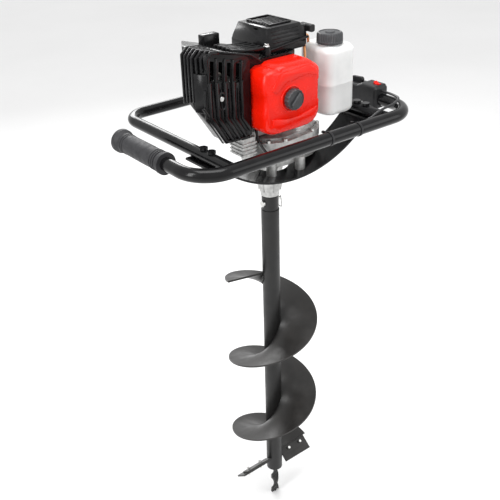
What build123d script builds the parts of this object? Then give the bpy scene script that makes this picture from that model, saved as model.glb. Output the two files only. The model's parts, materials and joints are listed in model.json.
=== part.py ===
"""One-man petrol ice and earth auger: a two-stroke power head on a tube frame, driving a flighted drill.

Origin: the tip of the pilot bit, on the drill's axis.  +Z runs up the drill, +X to the operator's
right along the front handlebar, +Y away from the front bar towards the rear loop.  Millimetres.
"""
import math
import os

from build123d import *

os.makedirs("parts", exist_ok=True)

# ------------------------------------------------------------------ driving dimensions
# drill
flight_od = 200.0
flight_pitch = 210.0
flight_turns = 2.46
flight_thick = 4.0
flight_top_z = 647.7
flight_top_angle = 190.0
tube_od = 38.0
tube_wall = 3.0
tube_bottom_z = 92.0
tube_top_z = 798.0
sleeve_od = 35.0
sleeve_top_z = 829.0
drive_pin_z = 814.0
drive_pin_d = 7.8
blade_len = 78.0
blade_width = 36.0
blade_thick = 4.0
blade_tilt = 39.0
blade_z = 108.0

# tube frame
bar_z = 982.0
bar_od = 25.4
bar_wall = 1.6
bar_bend = 60.0
bar_y = -140.0
arm_x = 262.0
arm_end_y = 110.0
throttle_arm_end_y = -22.0
loop_od = 22.0
loop_x = 190.0
loop_y = 224.0
loop_bend = 45.0
strap_r = 269.0
strap_low_z = 892.0
strap_thick = 4.0
strap_front_y = -87.0
strap_rear_y = -14.0
strap_notch_r = 38.0

# gear train: stub teeth, 20 degree pressure angle
pinion_teeth = 12
lay_gear_teeth = 60
lay_pinion_teeth = 12
output_teeth = 52
fast_module = 1.25
slow_module = 1.75
gear_backlash = 0.12
crank_x, crank_y = 16.0, 18.0

# heights of the power head, bottom to top
nose_z = 831.0
casing_z = 912.0
split_z = 957.0
cover_top_z = 970.0
crankcase_z = 1003.0
crankcase_top_z = 1085.0
cowl_top_z = 1122.0
recoil_top_z = 1168.0
cylinder_z = 1044.0

output_r = 10.0
lay_r = 5.0
input_r = 5.0
crank_r = 6.0
running_gap = 0.05

# ------------------------------------------------------------------ worked-out places
stage_1 = fast_module * (pinion_teeth + lay_gear_teeth) / 2
stage_2 = slow_module * (lay_pinion_teeth + output_teeth) / 2
crank_offset = math.hypot(crank_x, crank_y)
crank_angle = math.atan2(crank_y, crank_x)
swing = math.acos((stage_2**2 + crank_offset**2 - stage_1**2) / (2 * stage_2 * crank_offset))
lay_angle = crank_angle - swing
lay_x = stage_2 * math.cos(lay_angle)
lay_y = stage_2 * math.sin(lay_angle)
strap_z = strap_low_z + strap_r
output_case_r = 56.0
lay_case_r = 47.0
case_wall = 5.0


# ------------------------------------------------------------------ helpers
def gear_outline(teeth, module, tooth_angle):
    """Points round a stub-tooth involute gear, one tooth centred on tooth_angle (radians)."""
    pitch_r = module * teeth / 2
    base_r = pitch_r * math.cos(math.radians(20))
    tip_r = pitch_r + 0.8 * module
    root_r = pitch_r - 1.1 * module
    involute = math.tan(math.radians(20)) - math.radians(20)
    half_pitch = math.pi / 2 / teeth - gear_backlash / pitch_r
    flank = []
    start_r = max(base_r, root_r)
    for step in range(5):
        radius = start_r + (tip_r - start_r) * step / 4
        pressure = math.acos(min(1.0, base_r / radius))
        flank.append((radius, half_pitch + involute - (math.tan(pressure) - pressure)))
    if root_r < start_r:
        flank.insert(0, (root_r, flank[0][1]))
    points = []
    for tooth in range(teeth):
        middle = tooth_angle + 2 * math.pi * tooth / teeth
        for radius, half in flank:
            points.append((radius * math.cos(middle - half), radius * math.sin(middle - half)))
        for radius, half in reversed(flank):
            points.append((radius * math.cos(middle + half), radius * math.sin(middle + half)))
    return points


def draw_gear(teeth, module, tooth_angle, bore_r):
    """Draw a gear's face in the active sketch."""
    with BuildLine() as outline:
        Polyline(*gear_outline(teeth, module, tooth_angle), close=True)
    make_face(outline.edges())
    Circle(bore_r, mode=Mode.SUBTRACT)


def rod(start, end, radius, mode=Mode.ADD):
    """A round bar from start to end in the active part."""
    direction = Vector(*end) - Vector(*start)
    with BuildSketch(Plane(origin=start, z_dir=direction)) as section:
        Circle(radius)
    extrude(section.sketch, amount=direction.length, mode=mode)


def draw_case(grow):
    """The gear case's outline: two circles round the output and lay gears, joined by tangents."""
    Circle(output_case_r + grow)
    with Locations((lay_x, lay_y)):
        Circle(lay_case_r + grow)
    make_hull()


lug_z = bar_z - loop_od / 2


def draw_strap(outer_r, inner_r):
    """A ring centred over the drill axis, cut level with the underside of the loop's legs."""
    with Locations((0, strap_z)):
        Circle(outer_r)
        Circle(inner_r, mode=Mode.SUBTRACT)
    with Locations((0, lug_z + outer_r)):
        Rectangle(2 * outer_r + 20, 2 * outer_r, mode=Mode.SUBTRACT)


# ================================================================== tube frame
with BuildPart() as front_handlebar:
    with BuildLine() as bar_path:
        FilletPolyline(
            (-arm_x, arm_end_y, bar_z),
            (-arm_x, bar_y, bar_z),
            (arm_x, bar_y, bar_z),
            (arm_x, throttle_arm_end_y, bar_z),
            radius=bar_bend,
        )
    with BuildSketch(Plane(origin=bar_path.line @ 0, z_dir=bar_path.line % 0)):
        Circle(bar_od / 2)
        Circle(bar_od / 2 - bar_wall, mode=Mode.SUBTRACT)
    sweep(path=bar_path.line)
front_handlebar.part.label = "front_handlebar"
export_step(front_handlebar.part, "parts/front_handlebar.step")

strap_bolt_ys = (-50.0, -74.0)
strap_bolt_r = 4.0
with BuildPart() as rear_loop:
    with BuildLine() as loop_path:
        FilletPolyline(
            (-loop_x, bar_y, bar_z),
            (-loop_x, loop_y, bar_z),
            (loop_x, loop_y, bar_z),
            (loop_x, bar_y, bar_z),
            radius=loop_bend,
        )
    with BuildSketch(Plane(origin=loop_path.line @ 0, z_dir=loop_path.line % 0)):
        Circle(loop_od / 2)
        Circle(loop_od / 2 - bar_wall, mode=Mode.SUBTRACT)
    sweep(path=loop_path.line)
    rod((-arm_x, bar_y, bar_z), (arm_x, bar_y, bar_z), bar_od / 2, Mode.SUBTRACT)
    for side in (-loop_x, loop_x):
        for bolt_y in strap_bolt_ys:
            rod((side, bolt_y, bar_z - 20), (side, bolt_y, bar_z + 20), strap_bolt_r, Mode.SUBTRACT)
rear_loop.part.label = "rear_loop"
export_step(rear_loop.part, "parts/rear_loop.step")

case_bolt_places = ((-36.0, -50.0), (30.0, -58.0))
case_bolt_r = 4.0
strap_inner_r = strap_r - strap_thick
with BuildPart() as cradle_strap:
    with BuildSketch(Plane.XZ.offset(-strap_rear_y)):
        draw_strap(strap_r, strap_inner_r)
        with Locations((-loop_x - 3, lug_z - strap_thick / 2), (loop_x + 3, lug_z - strap_thick / 2)):
            Rectangle(26, strap_thick)
    extrude(amount=strap_rear_y - strap_front_y)
    for side in (-loop_x, loop_x):
        for bolt_y in strap_bolt_ys:
            rod((side, bolt_y, lug_z - 20), (side, bolt_y, lug_z), strap_bolt_r, Mode.SUBTRACT)
            rod((side, bolt_y, lug_z - 30), (side, bolt_y, lug_z - strap_thick), 9, Mode.SUBTRACT)
    for bolt_x, bolt_y in case_bolt_places:
        rod((bolt_x, bolt_y, strap_low_z - 20), (bolt_x, bolt_y, casing_z), case_bolt_r, Mode.SUBTRACT)
    rod((0, 0, strap_low_z - 20), (0, 0, casing_z), strap_notch_r, Mode.SUBTRACT)
cradle_strap.part.label = "cradle_strap"
export_step(cradle_strap.part, "parts/cradle_strap.step")

with BuildPart() as strap_bolts:
    for side in (-loop_x, loop_x):
        for bolt_y in strap_bolt_ys:
            rod((side, bolt_y, lug_z - 12), (side, bolt_y, bar_z + 12), strap_bolt_r)
            with BuildSketch(Plane.XY.offset(lug_z - strap_thick - 7)):
                with Locations((side, bolt_y)):
                    RegularPolygon(7.5, 6)
            extrude(amount=7)
            with BuildSketch(Plane.XY.offset(bar_z + loop_od / 2)):
                with Locations((side, bolt_y)):
                    Circle(8)
            extrude(amount=4.5)
strap_bolts.part.label = "strap_bolts"
export_step(strap_bolts.part, "parts/strap_bolts.step")

# ================================================================== left grip
grip_start_y = -38.0
grip_end_y = 116.0
left_arm_plane = Plane(origin=(-arm_x, 0, bar_z), x_dir=(0, 1, 0), z_dir=(1, 0, 0))
with BuildPart() as left_grip:
    with BuildSketch(left_arm_plane):
        with BuildLine():
            Polyline(
                (grip_start_y, bar_od / 2),
                (grip_start_y, 20.5),
                (grip_start_y + 7, 20.5),
                (grip_start_y + 12, 18.3),
                (20, 19.2),
                (grip_end_y - 18, 18.6),
                (grip_end_y - 10, 22.5),
                (grip_end_y - 2, 22.5),
                (grip_end_y, 20.5),
                (grip_end_y, 0),
                (arm_end_y, 0),
                (arm_end_y, bar_od / 2),
                close=True,
            )
        make_face()
    revolve(axis=Axis((-arm_x, 0, bar_z), (0, 1, 0)))
left_grip.part.label = "left_grip"
export_step(left_grip.part, "parts/left_grip.step")

# ================================================================== throttle handle
handle_front_y = -50.0
handle_rear_y = 116.0
handle_wall = 2.6
handle_plane = Plane(origin=(arm_x, 0, bar_z), x_dir=(0, 1, 0), z_dir=(1, 0, 0))
trigger_pivot_y, trigger_pivot_z = -12.0, bar_z - 9.0
lockout_pivot_y, lockout_pivot_z = 62.0, bar_z + 12.0
switch_y, switch_z = -36.0, bar_z + 25.0


def draw_handle_side(inset):
    """Side view of the moulded handle: a deep nose for the levers and a round tail to hold."""
    with BuildLine() as outline:
        Polyline(
            (handle_front_y + inset, -17 + inset),
            (handle_front_y + inset, 24 - inset),
            (-44 + inset, 30 - inset),
            (-8 - inset, 30 - inset),
            (6, 24 - inset),
            (handle_rear_y - 8 - inset, 21 - inset),
            (handle_rear_y - inset, 14 - inset),
            (handle_rear_y - inset, -14 + inset),
            (handle_rear_y - 8 - inset, -20 + inset),
            (50, -18 + inset),
            (0, -17 + inset),
            close=True,
        )
    make_face(outline.edges())


def handle_half(side):
    """One moulded half: side is -1 for the inner half and +1 for the outer half."""
    with BuildSketch(handle_plane) as skin:
        draw_handle_side(0.0)
    extrude(skin.sketch, amount=side * 19.0)
    outer_face = faces().sort_by(Axis.X)[-1 if side > 0 else 0]
    fillet(outer_face.edges(), radius=7.0)
    with BuildSketch(handle_plane) as hollow:
        draw_handle_side(handle_wall)
    extrude(hollow.sketch, amount=side * (19.0 - handle_wall), mode=Mode.SUBTRACT)
    rod((arm_x, handle_front_y - 5, bar_z), (arm_x, 0, bar_z), bar_od / 2, Mode.SUBTRACT)
    rod((arm_x, handle_front_y - 5, bar_z + 18), (arm_x, -40, bar_z + 18), 2.6, Mode.SUBTRACT)
    with Locations((arm_x, 18, bar_z - 17)):
        Box(9, 66, 16, mode=Mode.SUBTRACT)
    with Locations((arm_x, 30, bar_z + 22)):
        Box(9, 62, 14, mode=Mode.SUBTRACT)
    with Locations((arm_x, switch_y, switch_z + 3)):
        Box(11, 16, 14, mode=Mode.SUBTRACT)
    for post_y, post_z in ((-12, trigger_pivot_z), (62, lockout_pivot_z), (104, bar_z)):
        rod((arm_x, post_y, post_z), (arm_x + side * (19 - handle_wall), post_y, post_z), 5.0)
        rod((arm_x, post_y, post_z), (arm_x + side * 7, post_y, post_z), 6.0, Mode.SUBTRACT)
        rod((arm_x - 20, post_y, post_z), (arm_x + 20, post_y, post_z), 2.0, Mode.SUBTRACT)


with BuildPart() as handle_inner:
    handle_half(-1)
handle_inner.part.label = "handle_inner"
export_step(handle_inner.part, "parts/handle_inner.step")

with BuildPart() as handle_outer:
    handle_half(1)
handle_outer.part.label = "handle_outer"
export_step(handle_outer.part, "parts/handle_outer.step")

with BuildPart() as handle_screws:
    for post_y, post_z in ((-12, trigger_pivot_z), (62, lockout_pivot_z), (104, bar_z)):
        rod((arm_x - 18, post_y, post_z), (arm_x + 19, post_y, post_z), 2.0)
        rod((arm_x + 19, post_y, post_z), (arm_x + 21, post_y, post_z), 4.0)
handle_screws.part.label = "handle_screws"
export_step(handle_screws.part, "parts/handle_screws.step")

with BuildPart() as throttle_trigger:
    with BuildSketch(handle_plane.offset(-3.5)):
        with Locations((trigger_pivot_y, trigger_pivot_z - bar_z)):
            Circle(4.6)
        with BuildLine():
            Polyline((-12, -13), (-6, -7), (44, -12), (46, -19), (30, -33), (20, -31), (4, -17), close=True)
        make_face()
        with Locations((trigger_pivot_y, trigger_pivot_z - bar_z)):
            Circle(2.0 + running_gap, mode=Mode.SUBTRACT)
    extrude(amount=7.0)
throttle_trigger.part.label = "throttle_trigger"
export_step(throttle_trigger.part, "parts/throttle_trigger.step")

with BuildPart() as lockout_lever:
    with BuildSketch(handle_plane.offset(-3.5)):
        with Locations((lockout_pivot_y, lockout_pivot_z - bar_z)):
            Circle(4.6)
        with BuildLine():
            Polyline(
                (62, 8),
                (60, 16.5),
                (34, 33),
                (8, 35),
                (4, 31),
                (6, 25),
                (30, 22),
                (52, 9),
                close=True,
            )
        make_face()
        with Locations((lockout_pivot_y, lockout_pivot_z - bar_z)):
            Circle(2.0 + running_gap, mode=Mode.SUBTRACT)
    extrude(amount=7.0)
lockout_lever.part.label = "lockout_lever"
export_step(lockout_lever.part, "parts/lockout_lever.step")

with BuildPart() as stop_switch:
    with BuildSketch(handle_plane.offset(-4.8)):
        with Locations((switch_y, switch_z - bar_z)):
            Circle(3.5)
        with BuildLine():
            Polyline((-42, 27), (-42, 32), (-36, 30.5), (-30, 35), (-30, 27), close=True)
        make_face()
    extrude(amount=9.6)
stop_switch.part.label = "stop_switch"
export_step(stop_switch.part, "parts/stop_switch.step")

# throttle cable: from the handle's nose round the bend, behind the front bar and up to the engine
cable_r = 2.5
cable_points = [
    (arm_x, -41.0, bar_z + 18),
    (arm_x, -78.0, bar_z + 18),
    (250.0, -110.0, bar_z + 20),
    (220.0, -122.5, bar_z + 18),
    (184.0, -122.0, bar_z + 15),
    (152.0, -121.5, bar_z + 2),
    (118.0, -121.8, bar_z - 4),
    (80.0, -122.2, bar_z - 5),
    (42.0, -121.6, bar_z - 5),
    (8.0, -118.0, bar_z - 12),
    (-24.0, -98.0, bar_z - 32),
    (-48.0, -68.0, bar_z - 40),
    (-56.0, -50.0, bar_z - 24),
    (-56.0, -34.0, bar_z - 6),
    (-52.5, -25.5, bar_z + 14),
    (-52.5, -25.0, bar_z + 28),
]


def bend_radii(points):
    """Each corner's arc, as large as its two runs allow."""
    radii = []
    for before, corner, after in zip(points, points[1:], points[2:]):
        arriving = Vector(*corner) - Vector(*before)
        leaving = Vector(*after) - Vector(*corner)
        turn = math.radians(arriving.get_angle(leaving))
        radii.append(0.45 * min(arriving.length, leaving.length) / math.tan(turn / 2))
    return radii


def tube_along(points, radius):
    """A round cord or hose through the points, in the active part."""
    with BuildLine() as route:
        FilletPolyline(*points, radius=bend_radii(points))
    with BuildSketch(Plane(origin=route.line @ 0, z_dir=route.line % 0)) as section:
        Circle(radius)
    sweep(section.sketch, path=route.line)
    length = sum(edge.length for edge in route.edges())
    print("route length", round(length), "section times length", round(math.pi * radius**2 * length))
    print("bend radii", [round(bend) for bend in bend_radii(points)])


with BuildPart() as throttle_cable:
    tube_along(cable_points, cable_r)
print("throttle cable volume", round(throttle_cable.part.volume))
throttle_cable.part.label = "throttle_cable"
export_step(throttle_cable.part, "parts/throttle_cable.step")

tie_xs = (100.0, 26.0)
with BuildPart() as cable_ties:
    for tie_x in tie_xs:
        with BuildSketch(Plane.YZ.offset(tie_x)):
            with Locations((bar_y, bar_z)):
                Circle(bar_od / 2 + 1.2)
                Circle(bar_od / 2, mode=Mode.SUBTRACT)
            with Locations((bar_y + bar_od / 2 + 3, bar_z + 9)):
                Rectangle(5, 4)
        extrude(amount=4.6)
cable_ties.part.label = "cable_ties"
export_step(cable_ties.part, "parts/cable_ties.step")

# ================================================================== gear case
case_bolt_angles = (95, 140, 185, 230, 262)
lay_bolt_angles = (-78, -30, 20, 66)
case_bolt_ring = [
    ((output_case_r + 4) * math.cos(math.radians(a)), (output_case_r + 4) * math.sin(math.radians(a)))
    for a in case_bolt_angles
] + [
    (
        lay_x + (lay_case_r + 4) * math.cos(math.radians(a)),
        lay_y + (lay_case_r + 4) * math.sin(math.radians(a)),
    )
    for a in lay_bolt_angles
]
lower_bearing_z = 846.0
lower_bearing_r = 17.0
upper_bearing_z = 902.0
upper_bearing_r = 21.0
seal_z = 833.0
lay_bearing_r = 11.0
lay_bearing_z = 914.0
lay_top_bearing_z = 959.0
input_bearing_r = 13.0
input_bearing_z = 959.0
crank_bearing_r = 16.0
crank_bearing_zs = (1011.0, 1066.0)

with BuildPart() as gear_case:
    with BuildSketch(Plane.XY.offset(casing_z)):
        draw_case(0)
    extrude(amount=split_z - casing_z)
    with BuildSketch(Plane.XY.offset(split_z - 8)):
        draw_case(8)
    extrude(amount=8)
    with BuildSketch(Plane.XZ):
        with BuildLine():
            Polyline(
                (0, nose_z),
                (19, nose_z),
                (19.5, nose_z + 6),
                (22, nose_z + 14),
                (25, nose_z + 30),
                (25, nose_z + 38),
                (31, nose_z + 70),
                (33, casing_z + 1),
                (0, casing_z + 1),
                close=True,
            )
        make_face()
    revolve(axis=Axis.Z)
    for rib_number in range(6):
        with BuildSketch(Plane.XZ.rotated((0, 0, 15 + 60 * rib_number))):
            with BuildLine():
                Polyline(
                    (15, 850),
                    (23, 840),
                    (27, 870),
                    (35, 900),
                    (35, casing_z + 1),
                    (15, casing_z + 1),
                    close=True,
                )
            make_face()
        extrude(amount=2, both=True)
    for bolt_x, bolt_y in case_bolt_places:
        rod((bolt_x, bolt_y, strap_low_z), (bolt_x, bolt_y, casing_z + 12), 10)
    with BuildSketch(Plane.XY.offset(casing_z + 8)):
        draw_case(-case_wall)
    extrude(amount=60, mode=Mode.SUBTRACT)
    with BuildSketch(Plane.XZ.offset(80)):
        draw_strap(strap_r + 30, strap_inner_r)
    extrude(amount=-70, mode=Mode.SUBTRACT)
    rod((0, 0, nose_z - 1), (0, 0, casing_z + 10), output_r + 1, Mode.SUBTRACT)
    rod((0, 0, nose_z - 1), (0, 0, lower_bearing_z + 12), lower_bearing_r, Mode.SUBTRACT)
    rod((0, 0, upper_bearing_z), (0, 0, casing_z + 10), upper_bearing_r, Mode.SUBTRACT)
    rod((lay_x, lay_y, lay_bearing_z), (lay_x, lay_y, casing_z + 10), lay_bearing_r, Mode.SUBTRACT)
    for bolt_x, bolt_y in case_bolt_places:
        rod((bolt_x, bolt_y, 880), (bolt_x, bolt_y, casing_z + 4), case_bolt_r, Mode.SUBTRACT)
    for bolt_x, bolt_y in case_bolt_ring:
        rod((bolt_x, bolt_y, split_z - 9), (bolt_x, bolt_y, split_z + 1), 2.5, Mode.SUBTRACT)
gear_case.part.label = "gear_case"
export_step(gear_case.part, "parts/gear_case.step")

with BuildPart() as gear_cover:
    with BuildSketch(Plane.XY.offset(split_z)):
        draw_case(8)
    extrude(amount=7)
    with BuildSketch(Plane.XY.offset(split_z + 7)):
        draw_case(-2)
    extrude(amount=cover_top_z - split_z - 7)
    rod((crank_x, crank_y, split_z - 1), (crank_x, crank_y, cover_top_z + 1), input_r + 2, Mode.SUBTRACT)
    bore_low = (crank_x, crank_y, input_bearing_z)
    bore_high = (crank_x, crank_y, cover_top_z + 1)
    rod(bore_low, bore_high, input_bearing_r, Mode.SUBTRACT)
    rod((lay_x, lay_y, split_z - 1), (lay_x, lay_y, lay_top_bearing_z + 7), lay_bearing_r, Mode.SUBTRACT)
    for bolt_x, bolt_y in case_bolt_ring:
        rod((bolt_x, bolt_y, split_z - 1), (bolt_x, bolt_y, split_z + 8), 2.5, Mode.SUBTRACT)
gear_cover.part.label = "gear_cover"
export_step(gear_cover.part, "parts/gear_cover.step")

with BuildPart() as case_bolts:
    for bolt_x, bolt_y in case_bolt_ring:
        rod((bolt_x, bolt_y, split_z - 8), (bolt_x, bolt_y, split_z + 7), 2.5)
        rod((bolt_x, bolt_y, split_z + 7), (bolt_x, bolt_y, split_z + 12), 4.5)
    for bolt_x, bolt_y in case_bolt_places:
        rod((bolt_x, bolt_y, 883), (bolt_x, bolt_y, casing_z + 3), case_bolt_r)
        with BuildSketch(Plane.XY.offset(883)):
            with Locations((bolt_x, bolt_y)):
                RegularPolygon(7.5, 6)
        extrude(amount=7)
case_bolts.part.label = "case_bolts"
export_step(case_bolts.part, "parts/case_bolts.step")


def bearing(x, y, z, outer_r, inner_r, height):
    """A sealed ball bearing as one plain ring."""
    with BuildSketch(Plane.XY.offset(z)) as ring:
        with Locations((x, y)):
            Circle(outer_r)
            Circle(inner_r, mode=Mode.SUBTRACT)
    extrude(ring.sketch, amount=height)


with BuildPart() as bearings:
    bearing(0, 0, lower_bearing_z, lower_bearing_r, output_r + running_gap, 12)
    bearing(0, 0, upper_bearing_z, upper_bearing_r, output_r + running_gap, 12)
    bearing(lay_x, lay_y, lay_bearing_z, lay_bearing_r, lay_r + running_gap, 6)
    bearing(lay_x, lay_y, lay_top_bearing_z, lay_bearing_r, lay_r + running_gap, 7)
    bearing(crank_x, crank_y, input_bearing_z, input_bearing_r, input_r + running_gap, 9)
    for crank_bearing_z in crank_bearing_zs:
        bearing(crank_x, crank_y, crank_bearing_z, crank_bearing_r, crank_r + running_gap, 11)
bearings.part.label = "bearings"
export_step(bearings.part, "parts/bearings.step")

with BuildPart() as output_seal:
    bearing(0, 0, seal_z, lower_bearing_r, output_r + running_gap, 8)
output_seal.part.label = "output_seal"
export_step(output_seal.part, "parts/output_seal.step")

# ------------------------------------------------------------------ gears and shafts
slow_gear_z = 924.0
slow_gear_face = 16.0
fast_gear_z = 944.0
fast_gear_face = 10.0
towards_lay = math.atan2(lay_y, lay_x)
crank_to_lay = math.atan2(lay_y - crank_y, lay_x - crank_x)

with BuildPart() as output_gear:
    with BuildSketch(Plane.XY.offset(slow_gear_z)):
        draw_gear(output_teeth, slow_module, towards_lay + math.pi / output_teeth, output_r)
    extrude(amount=slow_gear_face)
output_gear.part.label = "output_gear"
export_step(output_gear.part, "parts/output_gear.step")

with BuildPart() as output_shaft:
    rod((0, 0, 770), (0, 0, slow_gear_z + slow_gear_face + 2), output_r)
    rod((0, 0, upper_bearing_z + 12), (0, 0, slow_gear_z), output_r + 4)
    rod((-20, 0, drive_pin_z), (20, 0, drive_pin_z), drive_pin_d / 2, Mode.SUBTRACT)
output_shaft.part.label = "output_shaft"
export_step(output_shaft.part, "parts/output_shaft.step")

with BuildPart() as lay_shaft:
    rod((lay_x, lay_y, lay_bearing_z + 0.5), (lay_x, lay_y, lay_top_bearing_z + 6.5), lay_r)
    with BuildSketch(Plane(origin=(lay_x, lay_y, slow_gear_z - 1))):
        draw_gear(lay_pinion_teeth, slow_module, towards_lay + math.pi, 0.5)
        Circle(1.0)
    extrude(amount=slow_gear_face + 2)
lay_shaft.part.label = "lay_shaft"
export_step(lay_shaft.part, "parts/lay_shaft.step")

with BuildPart() as lay_gear:
    with BuildSketch(Plane(origin=(lay_x, lay_y, fast_gear_z))):
        draw_gear(lay_gear_teeth, fast_module, crank_to_lay + math.pi + math.pi / lay_gear_teeth, lay_r)
    extrude(amount=fast_gear_face)
lay_gear.part.label = "lay_gear"
export_step(lay_gear.part, "parts/lay_gear.step")

drum_z = 976.0
drum_r = 38.0
drum_top_z = 998.0
with BuildPart() as clutch_drum:
    with BuildSketch(Plane(origin=(crank_x, crank_y, fast_gear_z - 1))):
        draw_gear(pinion_teeth, fast_module, crank_to_lay, 1.0)
        Circle(2.0)
    extrude(amount=fast_gear_face + 2)
    rod((crank_x, crank_y, fast_gear_z + fast_gear_face), (crank_x, crank_y, drum_z + 2), input_r)
    rod((crank_x, crank_y, input_bearing_z + 9.4), (crank_x, crank_y, drum_z), 9)
    rod((crank_x, crank_y, drum_z), (crank_x, crank_y, drum_top_z), drum_r)
    rod((crank_x, crank_y, drum_z + 3), (crank_x, crank_y, drum_top_z + 1), drum_r - 2.5, Mode.SUBTRACT)
clutch_drum.part.label = "clutch_drum"
export_step(clutch_drum.part, "parts/clutch_drum.step")

# ================================================================== engine
with BuildPart() as clutch_housing:
    with BuildSketch(Plane.XY.offset(cover_top_z)):
        with Locations((crank_x, crank_y)):
            Circle(49)
    extrude(amount=crankcase_z - cover_top_z)
    with Locations((-55, -6, 978)):
        Box(70, 32, 11)
    with Locations((-82, -24, 966)):
        Box(30, 36, 35)
    with Locations((-82, -24, 960)):
        Box(22, 28, 38, mode=Mode.SUBTRACT)
    with Locations((crank_x, crank_y, 986)):
        Cylinder(44, 40, mode=Mode.SUBTRACT)
    for rib_z in (952, 959, 966, 973):
        with Locations((-82, -24, rib_z)):
            Box(34, 40, 2.5)
            Box(22, 28, 3, mode=Mode.SUBTRACT)
clutch_housing.part.label = "clutch_housing"
export_step(clutch_housing.part, "parts/clutch_housing.step")

with BuildPart() as clutch_shoes:
    rod((crank_x, crank_y, 982), (crank_x, crank_y, 995), 34.5)
    rod((crank_x, crank_y, 981), (crank_x, crank_y, 996), 12, Mode.SUBTRACT)
    with Locations((crank_x, crank_y, 988)):
        Box(6, 90, 20, mode=Mode.SUBTRACT)
clutch_shoes.part.label = "clutch_shoes"
export_step(clutch_shoes.part, "parts/clutch_shoes.step")

case_min_x, case_max_x = -30.0, 56.0
case_min_y, case_max_y = crank_y - 38.0, crank_y + 38.0
bore_r = 22.0
web_r = 24.0
throw = 17.0
with BuildPart() as crankcase:
    with BuildSketch(Plane.XY.offset(crankcase_z)):
        with Locations(((case_min_x + case_max_x) / 2, (case_min_y + case_max_y) / 2)):
            RectangleRounded(case_max_x - case_min_x, case_max_y - case_min_y, 9)
    extrude(amount=crankcase_top_z - crankcase_z)
    rod((crank_x, crank_y, 1024), (crank_x, crank_y, 1064), 31, Mode.SUBTRACT)
    rod((crank_x, crank_y, 1000), (crank_x, crank_y, 1090), crank_r + 2, Mode.SUBTRACT)
    rod((crank_x, crank_y, 1010), (crank_x, crank_y, 1024), 16, Mode.SUBTRACT)
    rod((crank_x, crank_y, 1064), (crank_x, crank_y, 1078), 16, Mode.SUBTRACT)
    rod((case_min_x - 1, crank_y, cylinder_z), (crank_x, crank_y, cylinder_z), bore_r, Mode.SUBTRACT)
crankcase.part.label = "crankcase"
export_step(crankcase.part, "parts/crankcase.step")

with BuildPart() as crankshaft:
    rod((crank_x, crank_y, 980.5), (crank_x, crank_y, 1034), crank_r)
    rod((crank_x, crank_y, 1054), (crank_x, crank_y, 1118), crank_r)
    rod((crank_x, crank_y, 982), (crank_x, crank_y, 995), 12)
    for web_z in (1026, 1053):
        with BuildSketch(Plane.XY.offset(web_z)):
            with Locations((crank_x, crank_y)):
                Circle(web_r)
        extrude(amount=9)
    rod((crank_x - throw, crank_y, 1034), (crank_x - throw, crank_y, 1054), 5)
crankshaft.part.label = "crankshaft"
export_step(crankshaft.part, "parts/crankshaft.step")

head_x = -126.0
with BuildPart() as cylinder:
    rod((case_min_x, crank_y, cylinder_z), (head_x, crank_y, cylinder_z), 28)
    with Locations((case_min_x - 3, crank_y, cylinder_z)):
        Box(6, 64, 64)
    for fin_number in range(10):
        with Locations((-62 - 6.5 * fin_number, crank_y, cylinder_z)):
            Box(2, 76, 78)
    rod((-44, crank_y - 38, cylinder_z), (-44, crank_y, cylinder_z), 13)
    rod((-44, crank_y, cylinder_z), (-44, crank_y + 42, cylinder_z), 14)
    rod((case_min_x + 1, crank_y, cylinder_z), (-114, crank_y, cylinder_z), bore_r, Mode.SUBTRACT)
    rod((-44, crank_y - 40, cylinder_z), (-44, crank_y, cylinder_z), 9, Mode.SUBTRACT)
    rod((-44, crank_y, cylinder_z), (-44, crank_y + 43, cylinder_z), 10, Mode.SUBTRACT)
    rod((-112, crank_y, cylinder_z), (head_x - 1, crank_y, cylinder_z), 7, Mode.SUBTRACT)
cylinder.part.label = "cylinder"
export_step(cylinder.part, "parts/cylinder.step")

with BuildPart() as piston:
    rod((-60, crank_y, cylinder_z), (-90, crank_y, cylinder_z), bore_r - running_gap)
    rod((-59, crank_y, cylinder_z), (-86, crank_y, cylinder_z), 18.5, Mode.SUBTRACT)
piston.part.label = "piston"
export_step(piston.part, "parts/piston.step")

with BuildPart() as wrist_pin:
    with BuildSketch(Plane.XY.offset(cylinder_z - 17)):
        with Locations((-74, crank_y)):
            Circle(5)
            Circle(3, mode=Mode.SUBTRACT)
    extrude(amount=34)
wrist_pin.part.label = "wrist_pin"
export_step(wrist_pin.part, "parts/wrist_pin.step")

with BuildPart() as spark_plug:
    rod((-113, crank_y, cylinder_z), (head_x, crank_y, cylinder_z), 7)
    with BuildSketch(Plane.YZ.offset(head_x)):
        with Locations((crank_y, cylinder_z)):
            RegularPolygon(10.5, 6)
    extrude(amount=-8)
    rod((head_x - 8, crank_y, cylinder_z), (head_x - 20, crank_y, cylinder_z), 5.5)
    rod((head_x - 20, crank_y, cylinder_z), (head_x - 24, crank_y, cylinder_z), 3)
spark_plug.part.label = "spark_plug"
export_step(spark_plug.part, "parts/spark_plug.step")

with BuildPart() as plug_boot:
    rod((head_x - 12, crank_y, cylinder_z), (head_x - 27, crank_y, cylinder_z), 9.5)
    rod((head_x - 19, crank_y, cylinder_z), (head_x - 19, crank_y, cylinder_z + 26), 6)
    rod((head_x - 11, crank_y, cylinder_z), (head_x - 20, crank_y, cylinder_z), 5.5, Mode.SUBTRACT)
    rod((head_x - 19, crank_y, cylinder_z), (head_x - 24, crank_y, cylinder_z), 3, Mode.SUBTRACT)
plug_boot.part.label = "plug_boot"
export_step(plug_boot.part, "parts/plug_boot.step")

# ------------------------------------------------------------------ cylinder shroud
shroud_left_x = -183.0
shroud_right_x = -75.0
shroud_front_y = -45.0
shroud_rear_y = 76.0
shroud_wall = 2.5


underside_normal = (0.795, -0.311, 0.521)
underside_point = (-184.5, 10.0, 1067.5)


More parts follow.
